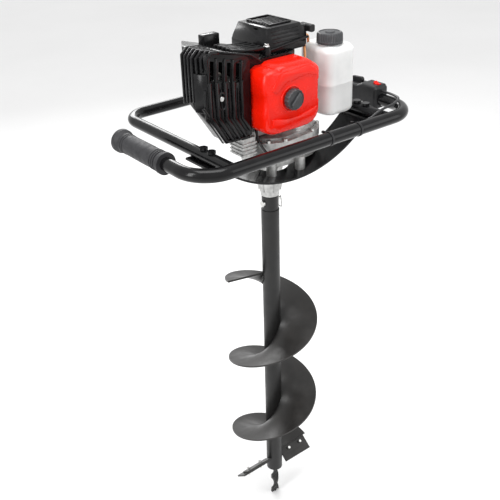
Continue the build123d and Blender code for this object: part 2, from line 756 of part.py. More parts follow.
def shroud_body(inset):
    """The cowl as a solid block, walls moved in by the inset, left corners and underside cut off."""
    left = shroud_left_x + inset
    front = shroud_front_y + inset
    rear = shroud_rear_y - inset
    with BuildSketch(Plane.XZ.offset(-shroud_rear_y + inset)) as side_view:
        with BuildLine():
            Polyline(
                (shroud_left_x + inset, 1068 + 0.5 * inset),
                (shroud_left_x + inset, 1148 - inset),
                (shroud_left_x + 13, 1160 - inset),
                (-142, 1157 - inset),
                (shroud_right_x + 2 * inset, 1139 - inset),
                (shroud_right_x + 2 * inset, 985 + inset),
                (-137, 988 + inset),
                close=True,
            )
        make_face()
    extrude(side_view.sketch, amount=shroud_rear_y - shroud_front_y - 2 * inset)
    with BuildSketch(Plane.XY.offset(980)) as corners:
        with BuildLine():
            Polyline(
                (left - 9, -18 + inset),
                (left, -18 + inset),
                (left + 12, front),
                (left + 12, -60),
                (left - 9, -60),
                close=True,
            )
        make_face()
        with BuildLine():
            Polyline(
                (left - 9, 18 - inset),
                (left, 18 - inset),
                (left + 37, rear),
                (left + 37, 90),
                (left - 9, 90),
                close=True,
            )
        make_face()
    extrude(corners.sketch, amount=190, mode=Mode.SUBTRACT)
    step_in = Vector(*underside_normal).normalized() * inset
    underside = Plane(origin=Vector(*underside_point) + step_in, z_dir=underside_normal)
    split(bisect_by=underside, keep=Keep.TOP)


with BuildPart() as shroud_core:
    shroud_body(shroud_wall)

with BuildPart() as engine_shroud:
    shroud_body(0.0)
    for slot_number in range(5):
        with Locations((-158 + 17 * slot_number, shroud_front_y, 1118 - 3 * slot_number)):
            Box(6, 8, 34, mode=Mode.SUBTRACT)
    with Locations((-92, 56, 1150)):
        Box(36, 18, 22)
    add(shroud_core.part, mode=Mode.SUBTRACT)
engine_shroud.part.label = "engine_shroud"
export_step(engine_shroud.part, "parts/engine_shroud.step")

# ------------------------------------------------------------------ fan cowl, flywheel, recoil starter
cowl_r = 50.0
cowl_wall = 3.0
cowl_left_x = -73.0
cowl_width = 2 * cowl_r


def cowl_outline(inset):
    """Round over the flywheel, square where it hands the air on to the cylinder."""
    Circle(cowl_r - inset)
    with Locations(((cowl_left_x - crank_x) / 2, 0)):
        Rectangle(crank_x - cowl_left_x, cowl_width - 2 * inset)


with BuildPart() as fan_cowl:
    with BuildSketch(Plane(origin=(crank_x, crank_y, crankcase_top_z))):
        cowl_outline(0)
    extrude(amount=cowl_top_z - crankcase_top_z)
    with BuildSketch(Plane.XZ.offset(-crank_y - cowl_r)):
        with BuildLine():
            Polyline(
                (cowl_left_x, cowl_top_z),
                (cowl_left_x, 1139),
                (-46, 1132),
                (-46, cowl_top_z),
                close=True,
            )
        make_face()
    extrude(amount=cowl_width)
    with BuildSketch(Plane(origin=(crank_x, crank_y, crankcase_top_z + cowl_wall))):
        cowl_outline(cowl_wall)
        with Locations((cowl_left_x - crank_x, 0)):
            Rectangle(10, cowl_width - 2 * cowl_wall)
    extrude(amount=cowl_top_z - crankcase_top_z - cowl_wall, mode=Mode.SUBTRACT)
    rod((crank_x, crank_y, 1080), (crank_x, crank_y, 1090), 12, Mode.SUBTRACT)
fan_cowl.part.label = "fan_cowl"
export_step(fan_cowl.part, "parts/fan_cowl.step")

flywheel_r = 45.0
with BuildPart() as flywheel:
    rod((crank_x, crank_y, 1092), (crank_x, crank_y, 1102), flywheel_r)
    for blade_number in range(12):
        with Locations(Location((crank_x, crank_y, 1108), (0, 0, 30 * blade_number))):
            with Locations((31, 0, 0)):
                Box(26, 3, 14)
    rod((crank_x, crank_y, 1090), (crank_x, crank_y, 1120), 14)
    rod((crank_x, crank_y, 1080), (crank_x, crank_y, 1118), crank_r, Mode.SUBTRACT)
flywheel.part.label = "flywheel"
export_step(flywheel.part, "parts/flywheel.step")

pulley_z = 1146.0
pulley_r = 22.0
pulley_flange_r = 27.5
pulley_room_r = 29.0
rope_z = pulley_z + 5.5
rope_y = crank_y - pulley_r
guide_x = 80.0
recoil_left_x, recoil_right_x = -18.0, 76.0
recoil_front_y, recoil_rear_y = -29.0, 80.0
lug_places = ((-14.0, 78.0), (-18.0, -20.0), (72.0, 76.0))
starter_grip_width = 30.0
with BuildPart() as recoil_housing:
    with BuildSketch(Plane.XY.offset(cowl_top_z)):
        with Locations(((recoil_left_x + recoil_right_x) / 2, (recoil_front_y + recoil_rear_y) / 2)):
            RectangleRounded(recoil_right_x - recoil_left_x, recoil_rear_y - recoil_front_y, 14)
    extrude(amount=recoil_top_z - cowl_top_z, taper=4)
    chamfer(edges().group_by(Axis.Z)[-1], length=5)
    for lug_x, lug_y in lug_places:
        rod((lug_x, lug_y, cowl_top_z), (lug_x, lug_y, 1150), 9)
    with Locations(((guide_x + 40) / 2, rope_y, rope_z)):
        Box(guide_x - 40, 20, 16)
    room_low = (crank_x, crank_y, cowl_top_z - 1)
    room_high = (crank_x, crank_y, recoil_top_z - 5)
    rod(room_low, room_high, pulley_room_r, Mode.SUBTRACT)
    rod((crank_x, rope_y, rope_z), (guide_x + 1, rope_y, rope_z), 3, Mode.SUBTRACT)
    rod((crank_x, crank_y, pulley_z - 12), (crank_x, crank_y, recoil_top_z - 4), 5)
recoil_housing.part.label = "recoil_housing"
export_step(recoil_housing.part, "parts/recoil_housing.step")

with BuildPart() as starter_pulley:
    rod((crank_x, crank_y, pulley_z), (crank_x, crank_y, pulley_z + 3), pulley_flange_r)
    rod((crank_x, crank_y, pulley_z + 3), (crank_x, crank_y, pulley_z + 8), pulley_r)
    rod((crank_x, crank_y, pulley_z + 8), (crank_x, crank_y, pulley_z + 11), pulley_flange_r)
    rod((crank_x, crank_y, pulley_z - 18), (crank_x, crank_y, pulley_z), 12)
    hub_low = (crank_x, crank_y, pulley_z - 19)
    hub_high = (crank_x, crank_y, pulley_z + 12)
    rod(hub_low, hub_high, 5 + running_gap, Mode.SUBTRACT)
starter_pulley.part.label = "starter_pulley"
export_step(starter_pulley.part, "parts/starter_pulley.step")

with BuildPart() as starter_handle:
    rod((guide_x + 0.5, rope_y, rope_z), (guide_x + 10, rope_y, rope_z), 6.5)
    with Locations((guide_x + 15, rope_y, rope_z)):
        Box(12, starter_grip_width, 14)
    fillet(edges().filter_by(Axis.Y), radius=4)
    rod((crank_x + 52, rope_y, rope_z), (guide_x + 2, rope_y, rope_z), 2)
starter_handle.part.label = "starter_handle"
export_step(starter_handle.part, "parts/starter_handle.step")

# ------------------------------------------------------------------ intake side
cover_left_x, cover_right_x = -73.0, 60.0
cover_front_y, cover_back_y = -85.0, -33.0
cover_low_z, cover_high_z = 990.0, 1118.0
cover_wall = 3.0
base_y = -57.0
carb_x = -44.0
knob_x, knob_z = -13.0, 1054.5


def draw_filter_outline(inset):
    """Front view of the air filter: a tall box with clipped corners."""
    left = cover_left_x + inset
    right = cover_right_x - inset
    low = cover_low_z + inset
    high = cover_high_z - inset
    with BuildLine() as outline:
        Polyline(
            (left, low + 16),
            (left, high - 20),
            (left + 16, high - 4),
            (left + 44, high),
            (right - 26, high),
            (right, high - 16),
            (right, low + 22),
            (right - 14, low + 4),
            (right - 40, low),
            (left + 18, low),
            close=True,
        )
    make_face(outline.edges())


with BuildPart() as filter_cover:
    with BuildSketch(Plane.XZ.offset(-cover_back_y)):
        draw_filter_outline(0)
    extrude(amount=cover_back_y - cover_front_y)
    front_face = faces().sort_by(Axis.Y)[0]
    chamfer(front_face.edges(), length=7)
    with BuildSketch(Plane.XZ.offset(-cover_back_y)):
        draw_filter_outline(cover_wall)
    extrude(amount=cover_back_y - cover_front_y - cover_wall - 5, mode=Mode.SUBTRACT)
    rod((knob_x, -60, knob_z), (knob_x, -90, knob_z), 3.3, Mode.SUBTRACT)
filter_cover.part.label = "filter_cover"
export_step(filter_cover.part, "parts/filter_cover.step")

with BuildPart() as filter_base:
    with BuildSketch(Plane.XZ.offset(-base_y - 3)):
        draw_filter_outline(cover_wall)
        with Locations((carb_x, cylinder_z)):
            Circle(10, mode=Mode.SUBTRACT)
        with Locations((knob_x, knob_z)):
            Circle(3.3, mode=Mode.SUBTRACT)
    extrude(amount=3)
filter_base.part.label = "filter_base"
export_step(filter_base.part, "parts/filter_base.step")

with BuildPart() as filter_element:
    with BuildSketch(Plane.XZ.offset(-base_y)):
        draw_filter_outline(cover_wall + 9)
        with Locations((knob_x, knob_z)):
            Circle(4, mode=Mode.SUBTRACT)
    extrude(amount=19)
filter_element.part.label = "filter_element"
export_step(filter_element.part, "parts/filter_element.step")

with BuildPart() as filter_knob:
    rod((knob_x, cover_front_y - 0.3, knob_z), (knob_x, cover_front_y - 12, knob_z), 20)
    rod((knob_x, -53, knob_z), (knob_x, cover_front_y - 1, knob_z), 3)
    with Locations((knob_x, cover_front_y - 13, knob_z)):
        Box(30, 5, 8)
filter_knob.part.label = "filter_knob"
export_step(filter_knob.part, "parts/filter_knob.step")

throttle_y = -30.0
choke_y = -48.0
butterfly_r = 8.6
with BuildPart() as carburettor:
    with Locations((carb_x, -39, cylinder_z)):
        Box(34, 30, 34)
    rod((carb_x, -60, cylinder_z), (carb_x, -20, cylinder_z), 9, Mode.SUBTRACT)
    for shaft_y in (throttle_y, choke_y):
        shaft_low = (carb_x, shaft_y, cylinder_z - 15)
        shaft_high = (carb_x, shaft_y, cylinder_z + 20)
        rod(shaft_low, shaft_high, 2.0 + running_gap, Mode.SUBTRACT)
    with BuildSketch(Plane.XY.offset(cylinder_z - 22)):
        with Locations((carb_x, -39)):
            Circle(12)
            Circle(9.6, mode=Mode.SUBTRACT)
    extrude(amount=5)
carburettor.part.label = "carburettor"
export_step(carburettor.part, "parts/carburettor.step")


def butterfly(shaft_y, top_z, closed):
    """A round plate on a vertical spindle, across the bore when closed."""
    rod((carb_x, shaft_y, cylinder_z - 14), (carb_x, shaft_y, top_z), 2.0)
    if closed:
        rod((carb_x, shaft_y - 0.5, cylinder_z), (carb_x, shaft_y + 0.5, cylinder_z), butterfly_r)
    else:
        rod((carb_x - 0.5, shaft_y, cylinder_z), (carb_x + 0.5, shaft_y, cylinder_z), butterfly_r)


with BuildPart() as throttle_plate:
    butterfly(throttle_y, cylinder_z + 20.5, True)
    with Locations((carb_x + 7, throttle_y, cylinder_z + 19)):
        Box(20, 6, 2)
throttle_plate.part.label = "throttle_plate"
export_step(throttle_plate.part, "parts/throttle_plate.step")

with BuildPart() as choke_lever:
    butterfly(choke_y, cylinder_z + 26, False)
    with Locations((carb_x + 12, choke_y, cylinder_z + 25)):
        Box(30, 6, 2)
choke_lever.part.label = "choke_lever"
export_step(choke_lever.part, "parts/choke_lever.step")

with BuildPart() as primer_bulb:
    rod((carb_x, -39, cylinder_z - 27), (carb_x, -39, cylinder_z - 21), 9.2)
    with Locations((carb_x, -39, cylinder_z - 27)):
        Sphere(9.2)
    for cut_z in (cylinder_z - 45, cylinder_z - 9):
        with Locations((carb_x, -39, cut_z)):
            Box(30, 30, 24, mode=Mode.SUBTRACT)
primer_bulb.part.label = "primer_bulb"
export_step(primer_bulb.part, "parts/primer_bulb.step")

# ------------------------------------------------------------------ exhaust side
muffler_y = crank_y + 42
muffler_box = (70.0, 36.0, 74.0)
muffler_wall = 2.0
muffler_place = (-26.0, muffler_y + muffler_box[1] / 2, cylinder_z)
with BuildPart() as muffler_core:
    with Locations(muffler_place):
        Box(*[side - 2 * muffler_wall for side in muffler_box])
    fillet(edges(), radius=7)

with BuildPart() as muffler:
    with Locations(muffler_place):
        Box(*muffler_box)
    fillet(edges(), radius=9)
    add(muffler_core.part, mode=Mode.SUBTRACT)
    rod((-44, muffler_y - 1, cylinder_z), (-44, muffler_y + 4, cylinder_z), 10, Mode.SUBTRACT)
    rod((8, muffler_y + 20, cylinder_z - 20), (20, muffler_y + 20, cylinder_z - 20), 7)
    rod((5, muffler_y + 20, cylinder_z - 20), (21, muffler_y + 20, cylinder_z - 20), 5.5, Mode.SUBTRACT)
muffler.part.label = "muffler"
export_step(muffler.part, "parts/muffler.step")

# ------------------------------------------------------------------ fuel system
tank_x, tank_y = 138.5, -15.0
tank_len, tank_dep = 75.0, 90.0
tank_low_z, tank_high_z = 982.0, 1119.0
neck_x, neck_y = 131.5, -28.0
cap_r, cap_height = 25.0, 23.0
tank_wall = 2.5
hose_hole = (112.0, 12.0)
hose_r = 2.6


def tank_block(inset):
    """The tank as a solid block with rounded corners, each wall moved in by the inset."""
    with BuildSketch(Plane(origin=(tank_x, tank_y, tank_low_z + inset))) as plan:
        RectangleRounded(tank_len - 2 * inset, tank_dep - 2 * inset, 16 - inset)
    extrude(plan.sketch, amount=tank_high_z - tank_low_z - 2 * inset)
    ends = edges().group_by(Axis.Z)
    fillet(ends[0] + ends[-1], radius=9 - inset)


with BuildPart() as tank_core:
    tank_block(tank_wall)

with BuildPart() as fuel_tank:
    tank_block(0.0)
    rod((neck_x, neck_y, tank_high_z - 5), (neck_x, neck_y, tank_high_z + 12), 20)
    add(tank_core.part, mode=Mode.SUBTRACT)
    rod((neck_x, neck_y, tank_high_z - 9), (neck_x, neck_y, tank_high_z + 13), 17, Mode.SUBTRACT)
    rod((*hose_hole, tank_high_z - 9), (*hose_hole, tank_high_z + 1), hose_r, Mode.SUBTRACT)
fuel_tank.part.label = "fuel_tank"
export_step(fuel_tank.part, "parts/fuel_tank.step")

with BuildPart() as tank_cap:
    rod((neck_x, neck_y, tank_high_z + 1), (neck_x, neck_y, tank_high_z + cap_height), cap_r)
    for rib_number in range(24):
        rib_angle = math.radians(15 * rib_number)
        rib_x = neck_x + cap_r * math.cos(rib_angle)
        rib_y = neck_y + cap_r * math.sin(rib_angle)
        rod((rib_x, rib_y, tank_high_z + 2), (rib_x, rib_y, tank_high_z + cap_height - 2), 1.3)
    rod((neck_x, neck_y, tank_high_z), (neck_x, neck_y, tank_high_z + 13), 20 + running_gap, Mode.SUBTRACT)
tank_cap.part.label = "tank_cap"
export_step(tank_cap.part, "parts/tank_cap.step")

with BuildPart() as tank_bracket:
    for arm_y in (-12, 22):
        with Locations(((case_max_x + tank_x - tank_len / 2) / 2, arm_y, 1030)):
            Box(tank_x - tank_len / 2 - case_max_x, 12, 5)
    with Locations((tank_x - tank_len / 2 - 2, 3, 1030)):
        Box(4, 62, 50)
tank_bracket.part.label = "tank_bracket"
export_step(tank_bracket.part, "parts/tank_bracket.step")

hose_points = [
    (*hose_hole, tank_high_z - 6),
    (*hose_hole, tank_high_z + 12),
    (96.0, 6.0, tank_high_z + 16),
    (84.0, -8.0, tank_high_z),
    (78.0, -18.0, tank_high_z - 22),
    (68.0, -22.0, tank_high_z - 42),
]
with BuildPart() as fuel_hose:
    tube_along(hose_points, hose_r)
fuel_hose.part.label = "fuel_hose"
export_step(fuel_hose.part, "parts/fuel_hose.step")

# ================================================================== drill
tube_inner_r = tube_od / 2 - tube_wall
with BuildPart() as coupling_sleeve:
    rod((0, 0, 756), (0, 0, tube_top_z), tube_inner_r)
    rod((0, 0, tube_top_z), (0, 0, sleeve_top_z), sleeve_od / 2)
    rod((0, 0, 769), (0, 0, sleeve_top_z + 1), output_r, Mode.SUBTRACT)
    rod((-25, 0, drive_pin_z), (25, 0, drive_pin_z), drive_pin_d / 2, Mode.SUBTRACT)
coupling_sleeve.part.label = "coupling_sleeve"
export_step(coupling_sleeve.part, "parts/coupling_sleeve.step")

with BuildPart() as drive_pin:
    rod((-sleeve_od / 2, 0, drive_pin_z), (27, 0, drive_pin_z), drive_pin_d / 2)
    rod((-sleeve_od / 2 - 4, 0, drive_pin_z), (-sleeve_od / 2, 0, drive_pin_z), 6.5)
    rod((22.5, 0, drive_pin_z - 10), (22.5, 0, drive_pin_z + 10), 1.1, Mode.SUBTRACT)
drive_pin.part.label = "drive_pin"
export_step(drive_pin.part, "parts/drive_pin.step")

with BuildPart() as r_clip:
    with BuildLine() as clip_path:
        FilletPolyline(
            (22.5, 0, drive_pin_z + 12),
            (22.5, 0, drive_pin_z - 16),
            (22.5, -11, drive_pin_z - 16),
            (22.5, -7.5, drive_pin_z + 10),
            radius=3.2,
        )
    with BuildSketch(Plane(origin=clip_path.line @ 0, z_dir=clip_path.line % 0)):
        Circle(1.1)
    sweep(path=clip_path.line)
r_clip.part.label = "r_clip"
export_step(r_clip.part, "parts/r_clip.step")

with BuildPart() as drill_tube:
    with BuildSketch(Plane.XY.offset(tube_bottom_z)):
        Circle(tube_od / 2)
        Circle(tube_inner_r, mode=Mode.SUBTRACT)
    extrude(amount=tube_top_z - tube_bottom_z)
drill_tube.part.label = "drill_tube"
export_step(drill_tube.part, "parts/drill_tube.step")

flight_height = flight_pitch * flight_turns
flight_bottom_z = flight_top_z - flight_height
flight_bottom_angle = flight_top_angle - 360 * flight_turns
with BuildPart() as flighting:
    middle_r = (tube_od / 2 + flight_od / 2) / 2
    flight_plane = Plane(origin=(0, 0, flight_bottom_z)).rotated((0, 0, flight_bottom_angle))
    with BuildLine(flight_plane) as flight_path:
        Helix(pitch=flight_pitch, height=flight_height, radius=middle_r)
    start = flight_path.line @ 0
    outward = Vector(start.X, start.Y, 0)
    with BuildSketch(Plane(origin=start, x_dir=outward, z_dir=flight_path.line % 0)):
        Rectangle(flight_od / 2 - tube_od / 2 + 0.6, flight_thick)
    sweep(path=flight_path.line, is_frenet=True)
    rod((0, 0, flight_bottom_z - 40), (0, 0, flight_top_z + 40), tube_od / 2, Mode.SUBTRACT)
flighting.part.label = "flighting"
export_step(flighting.part, "parts/flighting.step")

blade_mid_r = 61.0


def blade_plane(turn, lift):
    """The plane of one cutter blade, tilted so that its lower edge leads clockwise from above."""
    tilted = Plane.XY.rotated((blade_tilt, 0, 0))
    centre = Vector(blade_mid_r, -4, blade_z) + tilted.z_dir * lift
    spin = Rotation(0, 0, turn)
    plane = Plane(origin=centre, x_dir=tilted.x_dir, z_dir=tilted.z_dir)
    return Plane(spin * plane.location)


with BuildPart() as cutter_blades:
    for turn in (0, 180):
        with BuildSketch(blade_plane(turn, 0)):
            Rectangle(blade_len, blade_width)
            with Locations((-18, 8), (18, 8)):
                Circle(3.2, mode=Mode.SUBTRACT)
        extrude(amount=blade_thick)
cutter_blades.part.label = "cutter_blades"
export_step(cutter_blades.part, "parts/cutter_blades.step")

with BuildPart() as blade_holders:
    for turn in (0, 180):
        with BuildSketch(blade_plane(turn, blade_thick)):
            with Locations((-6, 10)):
                Rectangle(blade_len - 8, 26)
            with Locations((-18, 8), (18, 8)):
                Circle(3.2, mode=Mode.SUBTRACT)
        extrude(amount=4)
    rod((0, 0, 60), (0, 0, 180), tube_od / 2, Mode.SUBTRACT)
blade_holders.part.label = "blade_holders"
export_step(blade_holders.part, "parts/blade_holders.step")

with BuildPart() as blade_bolts:
    for turn in (0, 180):
        with BuildSketch(blade_plane(turn, -4)):
            with Locations((-18, 8), (18, 8)):
                RegularPolygon(5.5, 6)
        extrude(amount=4)
        with BuildSketch(blade_plane(turn, 0)):
            with Locations((-18, 8), (18, 8)):
                Circle(3.2)
        extrude(amount=blade_thick + 10)
blade_bolts.part.label = "blade_bolts"
export_step(blade_bolts.part, "parts/blade_bolts.step")

bit_width = 18.0
bit_thick = 6.0
bit_twist = 300.0
with BuildPart() as pilot_bit:
    rod((0, 0, tube_bottom_z - 4), (0, 0, tube_bottom_z), tube_od / 2)
    rod((0, 0, tube_bottom_z), (0, 0, tube_bottom_z + 14), tube_inner_r)
    bar = Face.make_rect(bit_width, bit_thick, Plane.XY.offset(14))
    add(Solid.extrude_linear_with_rotation(bar, (0, 0, 14), (0, 0, tube_bottom_z - 18), bit_twist))
    with BuildSketch(Plane.XZ.offset(-bit_thick / 2)):
        with BuildLine():
            Polyline(
                (-bit_width / 2, 14),
                (bit_width / 2, 14),
                (10.5, 2),
                (4, 5),
                (0, 0),
                (-4, 5),
                (-10.5, 2),
                close=True,
            )
        make_face()
    extrude(amount=bit_thick)
pilot_bit.part.label = "pilot_bit"
export_step(pilot_bit.part, "parts/pilot_bit.step")
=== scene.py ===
# %% [markdown]
# # A petrol ice and earth auger, finished piece by piece
# One person carries this machine to the ice by two handles, pulls the starter and lets the drill cut down.
# The engineering model already fixes where every part sits and how it moves.
# This lesson keeps those places and adds what an engineering model leaves out: moulded ribs, creases, welds,
# cast skin, paint and light.

# %% Load the frame
import json
import math
import bpy
import bmesh
from mathutils import Matrix, Vector


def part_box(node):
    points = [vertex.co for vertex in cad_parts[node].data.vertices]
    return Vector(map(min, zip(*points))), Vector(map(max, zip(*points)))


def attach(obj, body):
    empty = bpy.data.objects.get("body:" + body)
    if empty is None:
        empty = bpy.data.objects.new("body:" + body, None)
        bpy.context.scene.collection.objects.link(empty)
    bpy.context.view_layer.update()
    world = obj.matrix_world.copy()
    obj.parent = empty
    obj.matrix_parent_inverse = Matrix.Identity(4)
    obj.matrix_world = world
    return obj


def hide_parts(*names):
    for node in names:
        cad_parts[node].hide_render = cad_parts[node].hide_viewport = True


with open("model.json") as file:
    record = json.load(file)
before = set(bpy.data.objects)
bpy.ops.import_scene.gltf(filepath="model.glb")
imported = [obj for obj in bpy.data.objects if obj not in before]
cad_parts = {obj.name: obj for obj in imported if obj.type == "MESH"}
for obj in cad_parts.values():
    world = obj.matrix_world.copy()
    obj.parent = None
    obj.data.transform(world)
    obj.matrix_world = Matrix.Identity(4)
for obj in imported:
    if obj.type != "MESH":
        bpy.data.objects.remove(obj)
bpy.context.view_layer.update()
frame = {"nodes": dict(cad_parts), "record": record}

nodes = frame["nodes"]

# %% [markdown]
# ## Working in millimetres
# Blender measures in metres, and a workshop measures a machine like this in millimetres.
# A scale factor inside every mesh helper would do, and so would modelling large and shrinking at the end.
# Here each helper takes millimetres and converts once, as it makes its vertices, so nothing is scaled later.

# %% Millimetres and boxes
MM = 0.001


def span(node):
    """Lowest and highest corners of a node, in millimetres."""
    low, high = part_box(node)
    return tuple(low / MM), tuple(high / MM)


def to_space(u, v, w, axis):
    """Turns a point of a flat drawing (u, v) at depth w along an axis into a point in space, in metres."""
    order = {"X": (w, u, v), "Y": (u, w, v), "Z": (u, v, w)}[axis]
    return Vector(order) * MM


case_low, case_high = span("gear_case")
print("gear case from", [round(v) for v in case_low], "to", [round(v) for v in case_high])

# %% [markdown]
# ## Pieces from meshes
# Most housings here are flat drawings pushed out along an axis, then cut, softened and shaded.
# They could be box-modelled by hand, but a drawing with named corners is easier to correct afterwards.
# A bevel of a millimetre or so on every edge matters more than any texture: it is what catches the light.

# %% Mesh helpers
def add_prism(bm, outline, low, high, axis):
    """Adds a closed flat outline pushed out from low to high along an axis."""
    bottom = [bm.verts.new(to_space(u, v, low, axis)) for u, v in outline]
    top = [bm.verts.new(to_space(u, v, high, axis)) for u, v in outline]
    bm.faces.new(bottom)
    bm.faces.new(list(reversed(top)))
    count = len(outline)
    for i in range(count):
        j = (i + 1) % count
        bm.faces.new((bottom[j], bottom[i], top[i], top[j]))


def add_block(bm, low, high):
    """Adds a box between two corners."""
    outline = [(low[0], low[1]), (high[0], low[1]), (high[0], high[1]), (low[0], high[1])]
    add_prism(bm, outline, low[2], high[2], "Z")


def add_turned(bm, profile, centre, axis, steps=48):
    """Adds a turned shape: profile holds (distance along the axis, radius) pairs."""
    rings = []
    for along, radius in profile:
        ring = []
        for step in range(steps):
            angle = 2 * math.pi * step / steps
            u, v = radius * math.cos(angle), radius * math.sin(angle)
            place = {"X": (along, u, v), "Y": (u, along, v), "Z": (u, v, along)}[axis]
            ring.append(bm.verts.new((Vector(centre) + Vector(place)) * MM))
        rings.append(ring)
    for first, second in zip(rings, rings[1:]):
        for i in range(steps):
            j = (i + 1) % steps
            bm.faces.new((first[i], first[j], second[j], second[i]))
    bm.faces.new(list(reversed(rings[0])))
    bm.faces.new(rings[-1])


def thick_line(points, width):
    """Outline of a bent strip of even width, from its centre line."""
    left, right = [], []
    flat = [Vector(p) for p in points]
    for i, here in enumerate(flat):
        before = (here - flat[i - 1]).normalized() if i else (flat[1] - here).normalized()
        after = (flat[i + 1] - here).normalized() if i + 1 < len(flat) else before
        along = (before + after).normalized()
        across = Vector((-along.y, along.x)) * (width / 2 / max(0.4, along.dot(before)))
        left.append(tuple(here + across))
        right.append(tuple(here - across))
    return left + list(reversed(right))


def new_piece(name, bm):
    """Makes an object from a bmesh, with all its faces turned outwards."""
    bmesh.ops.recalc_face_normals(bm, faces=bm.faces)
    mesh = bpy.data.meshes.new(name)
    bm.to_mesh(mesh)
    bm.free()
    piece = bpy.data.objects.new(name, mesh)
    bpy.context.scene.collection.objects.link(piece)
    return piece


def settle(piece):
    """Turns a piece's modifiers into plain mesh."""
    graph = bpy.context.evaluated_depsgraph_get()
    mesh = bpy.data.meshes.new_from_object(piece.evaluated_get(graph))
    piece.modifiers.clear()
    piece.data = mesh


def carve(piece, cutter, how="DIFFERENCE"):
    """Cuts one piece with another, which is used up."""
    work = piece.modifiers.new("carve", "BOOLEAN")
    work.operation = how
    work.solver = "EXACT"
    work.object = cutter
    settle(piece)
    bpy.data.objects.remove(cutter)


def soften(piece, width, segments=2, angle=35):
    """Rounds the edges that are sharper than an angle, and shades what is left as one skin."""
    bevel = piece.modifiers.new("soften", "BEVEL")
    bevel.width = width * MM
    bevel.segments = segments
    bevel.limit_method = "ANGLE"
    bevel.angle_limit = math.radians(angle)
    bevel.use_clamp_overlap = True
    bevel.harden_normals = True
    piece.data.shade_smooth()
    settle(piece)
    piece.data.set_sharp_from_angle(angle=math.radians(50))


def join(name, pieces):
    """Joins several pieces into one object without changing their shapes."""
    bm = bmesh.new()
    for piece in pieces:
        bm.from_mesh(piece.data)
        bpy.data.objects.remove(piece)
    mesh = bpy.data.meshes.new(name)
    bm.to_mesh(mesh)
    bm.free()
    whole = bpy.data.objects.new(name, mesh)
    bpy.context.scene.collection.objects.link(whole)
    return whole


print("helpers ready")

# %% [markdown]
# ## Finishes
# No surface on a machine is one flat colour. Powder coat has orange peel, moulded plastic has a faint flow
# pattern, cast aluminium is pitted and rubber is dusty. Painted image textures could show that, but they
# would need unwrapping. Noise in the object's own space needs none and stays the same size everywhere.
# Each finish below is two close colours mixed by a soft pattern, a roughness that varies with another
# pattern, and a fine relief.

# %% Finish helpers
def pattern(tree, size, low, high, detail=4.0):
    """A cloudy pattern with spots about size millimetres across, as a number between low and high."""
    where = tree.nodes.new("ShaderNodeTexCoord")
    cloud = tree.nodes.new("ShaderNodeTexNoise")
    cloud.inputs["Scale"].default_value = 1 / (size * MM)
    cloud.inputs["Detail"].default_value = detail
    spread = tree.nodes.new("ShaderNodeMapRange")
    spread.inputs["From Min"].default_value = 0.3
    spread.inputs["From Max"].default_value = 0.7
    spread.inputs["To Min"].default_value = low
    spread.inputs["To Max"].default_value = high
    tree.links.new(where.outputs["Object"], cloud.inputs["Vector"])
    tree.links.new(cloud.outputs["Fac"], spread.inputs["Value"])
    return spread.outputs["Result"]


def mix_colours(tree, amount, first, second):
    """Mixes two colours, each given as numbers or as the output of an earlier mix."""
    mix = tree.nodes.new("ShaderNodeMix")
    mix.data_type = "RGBA"
    tree.links.new(amount, mix.inputs["Factor"])
    for socket, colour in ((mix.inputs["A"], first), (mix.inputs["B"], second)):
        if isinstance(colour, tuple):
            socket.default_value = (*colour, 1)
        else:
            tree.links.new(colour, socket)
    return mix.outputs["Result"]


def relief(tree, shader, height, depth):
    """Raises the surface by a pattern: depth is in millimetres."""
    bump = tree.nodes.new("ShaderNodeBump")
    bump.inputs["Distance"].default_value = depth * MM
    bump.inputs["Strength"].default_value = 1.0
    tree.links.new(height, bump.inputs["Height"])
    tree.links.new(bump.outputs["Normal"], shader.inputs["Normal"])


def new_finish(name):
    """An empty finish: its material, its tree of nodes and its shader."""
    material = bpy.data.materials.new(name)
    material.use_nodes = True
    return material, material.node_tree, material.node_tree.nodes["Principled BSDF"]


def plain_finish(name, dark, light, rough, spot=15.0, grain=0.6, depth=0.02, metal=0.0, shine=0.5):
    """A finish of two close colours, a varying roughness and a fine grain."""
    material, tree, shader = new_finish(name)
    colour = mix_colours(tree, pattern(tree, spot, 0, 1), dark, light)
    tree.links.new(colour, shader.inputs["Base Color"])
    tree.links.new(pattern(tree, spot * 0.6, rough[0], rough[1]), shader.inputs["Roughness"])
    relief(tree, shader, pattern(tree, grain, 0, 1, detail=2.0), depth)
    shader.inputs["Metallic"].default_value = metal
    shader.inputs["Specular IOR Level"].default_value = shine
    return material


finishes = {}
finishes["black_tube_paint"] = plain_finish(
    "black powder coat", (0.0035, 0.0035, 0.004), (0.007, 0.007, 0.0075), (0.12, 0.2), 20, 1.6, 0.006, shine=0.24)
finishes["cowl_plastic"] = plain_finish(
    "gloss black moulding", (0.004, 0.004, 0.0045), (0.009, 0.009, 0.0095), (0.16, 0.27), 12, 0.9, 0.004, shine=0.22)
finishes["handle_plastic"] = plain_finish(
    "matt black moulding", (0.008, 0.008, 0.009), (0.016, 0.016, 0.017), (0.38, 0.55), 10, 0.5, 0.015, shine=0.35)
finishes["grip_rubber"] = plain_finish(
    "handle rubber", (0.011, 0.011, 0.0125), (0.023, 0.023, 0.0255), (0.48, 0.66), 14, 0.8, 0.02, shine=0.4)
finishes["red_plastic"] = plain_finish(
    "orange red moulding", (0.74, 0.0075, 0.001), (0.84, 0.0115, 0.0016), (0.2, 0.3), 30, 0.9, 0.004, shine=0.3)
finishes["cast_aluminium"] = plain_finish(
    "cast aluminium", (0.36, 0.36, 0.355), (0.56, 0.56, 0.55), (0.34, 0.55), 9, 1.1, 0.09, metal=0.85)
finishes["zinc_steel"] = plain_finish(
    "zinc plated steel", (0.5, 0.5, 0.49), (0.72, 0.72, 0.7), (0.2, 0.36), 5, 0.7, 0.01, metal=1.0)
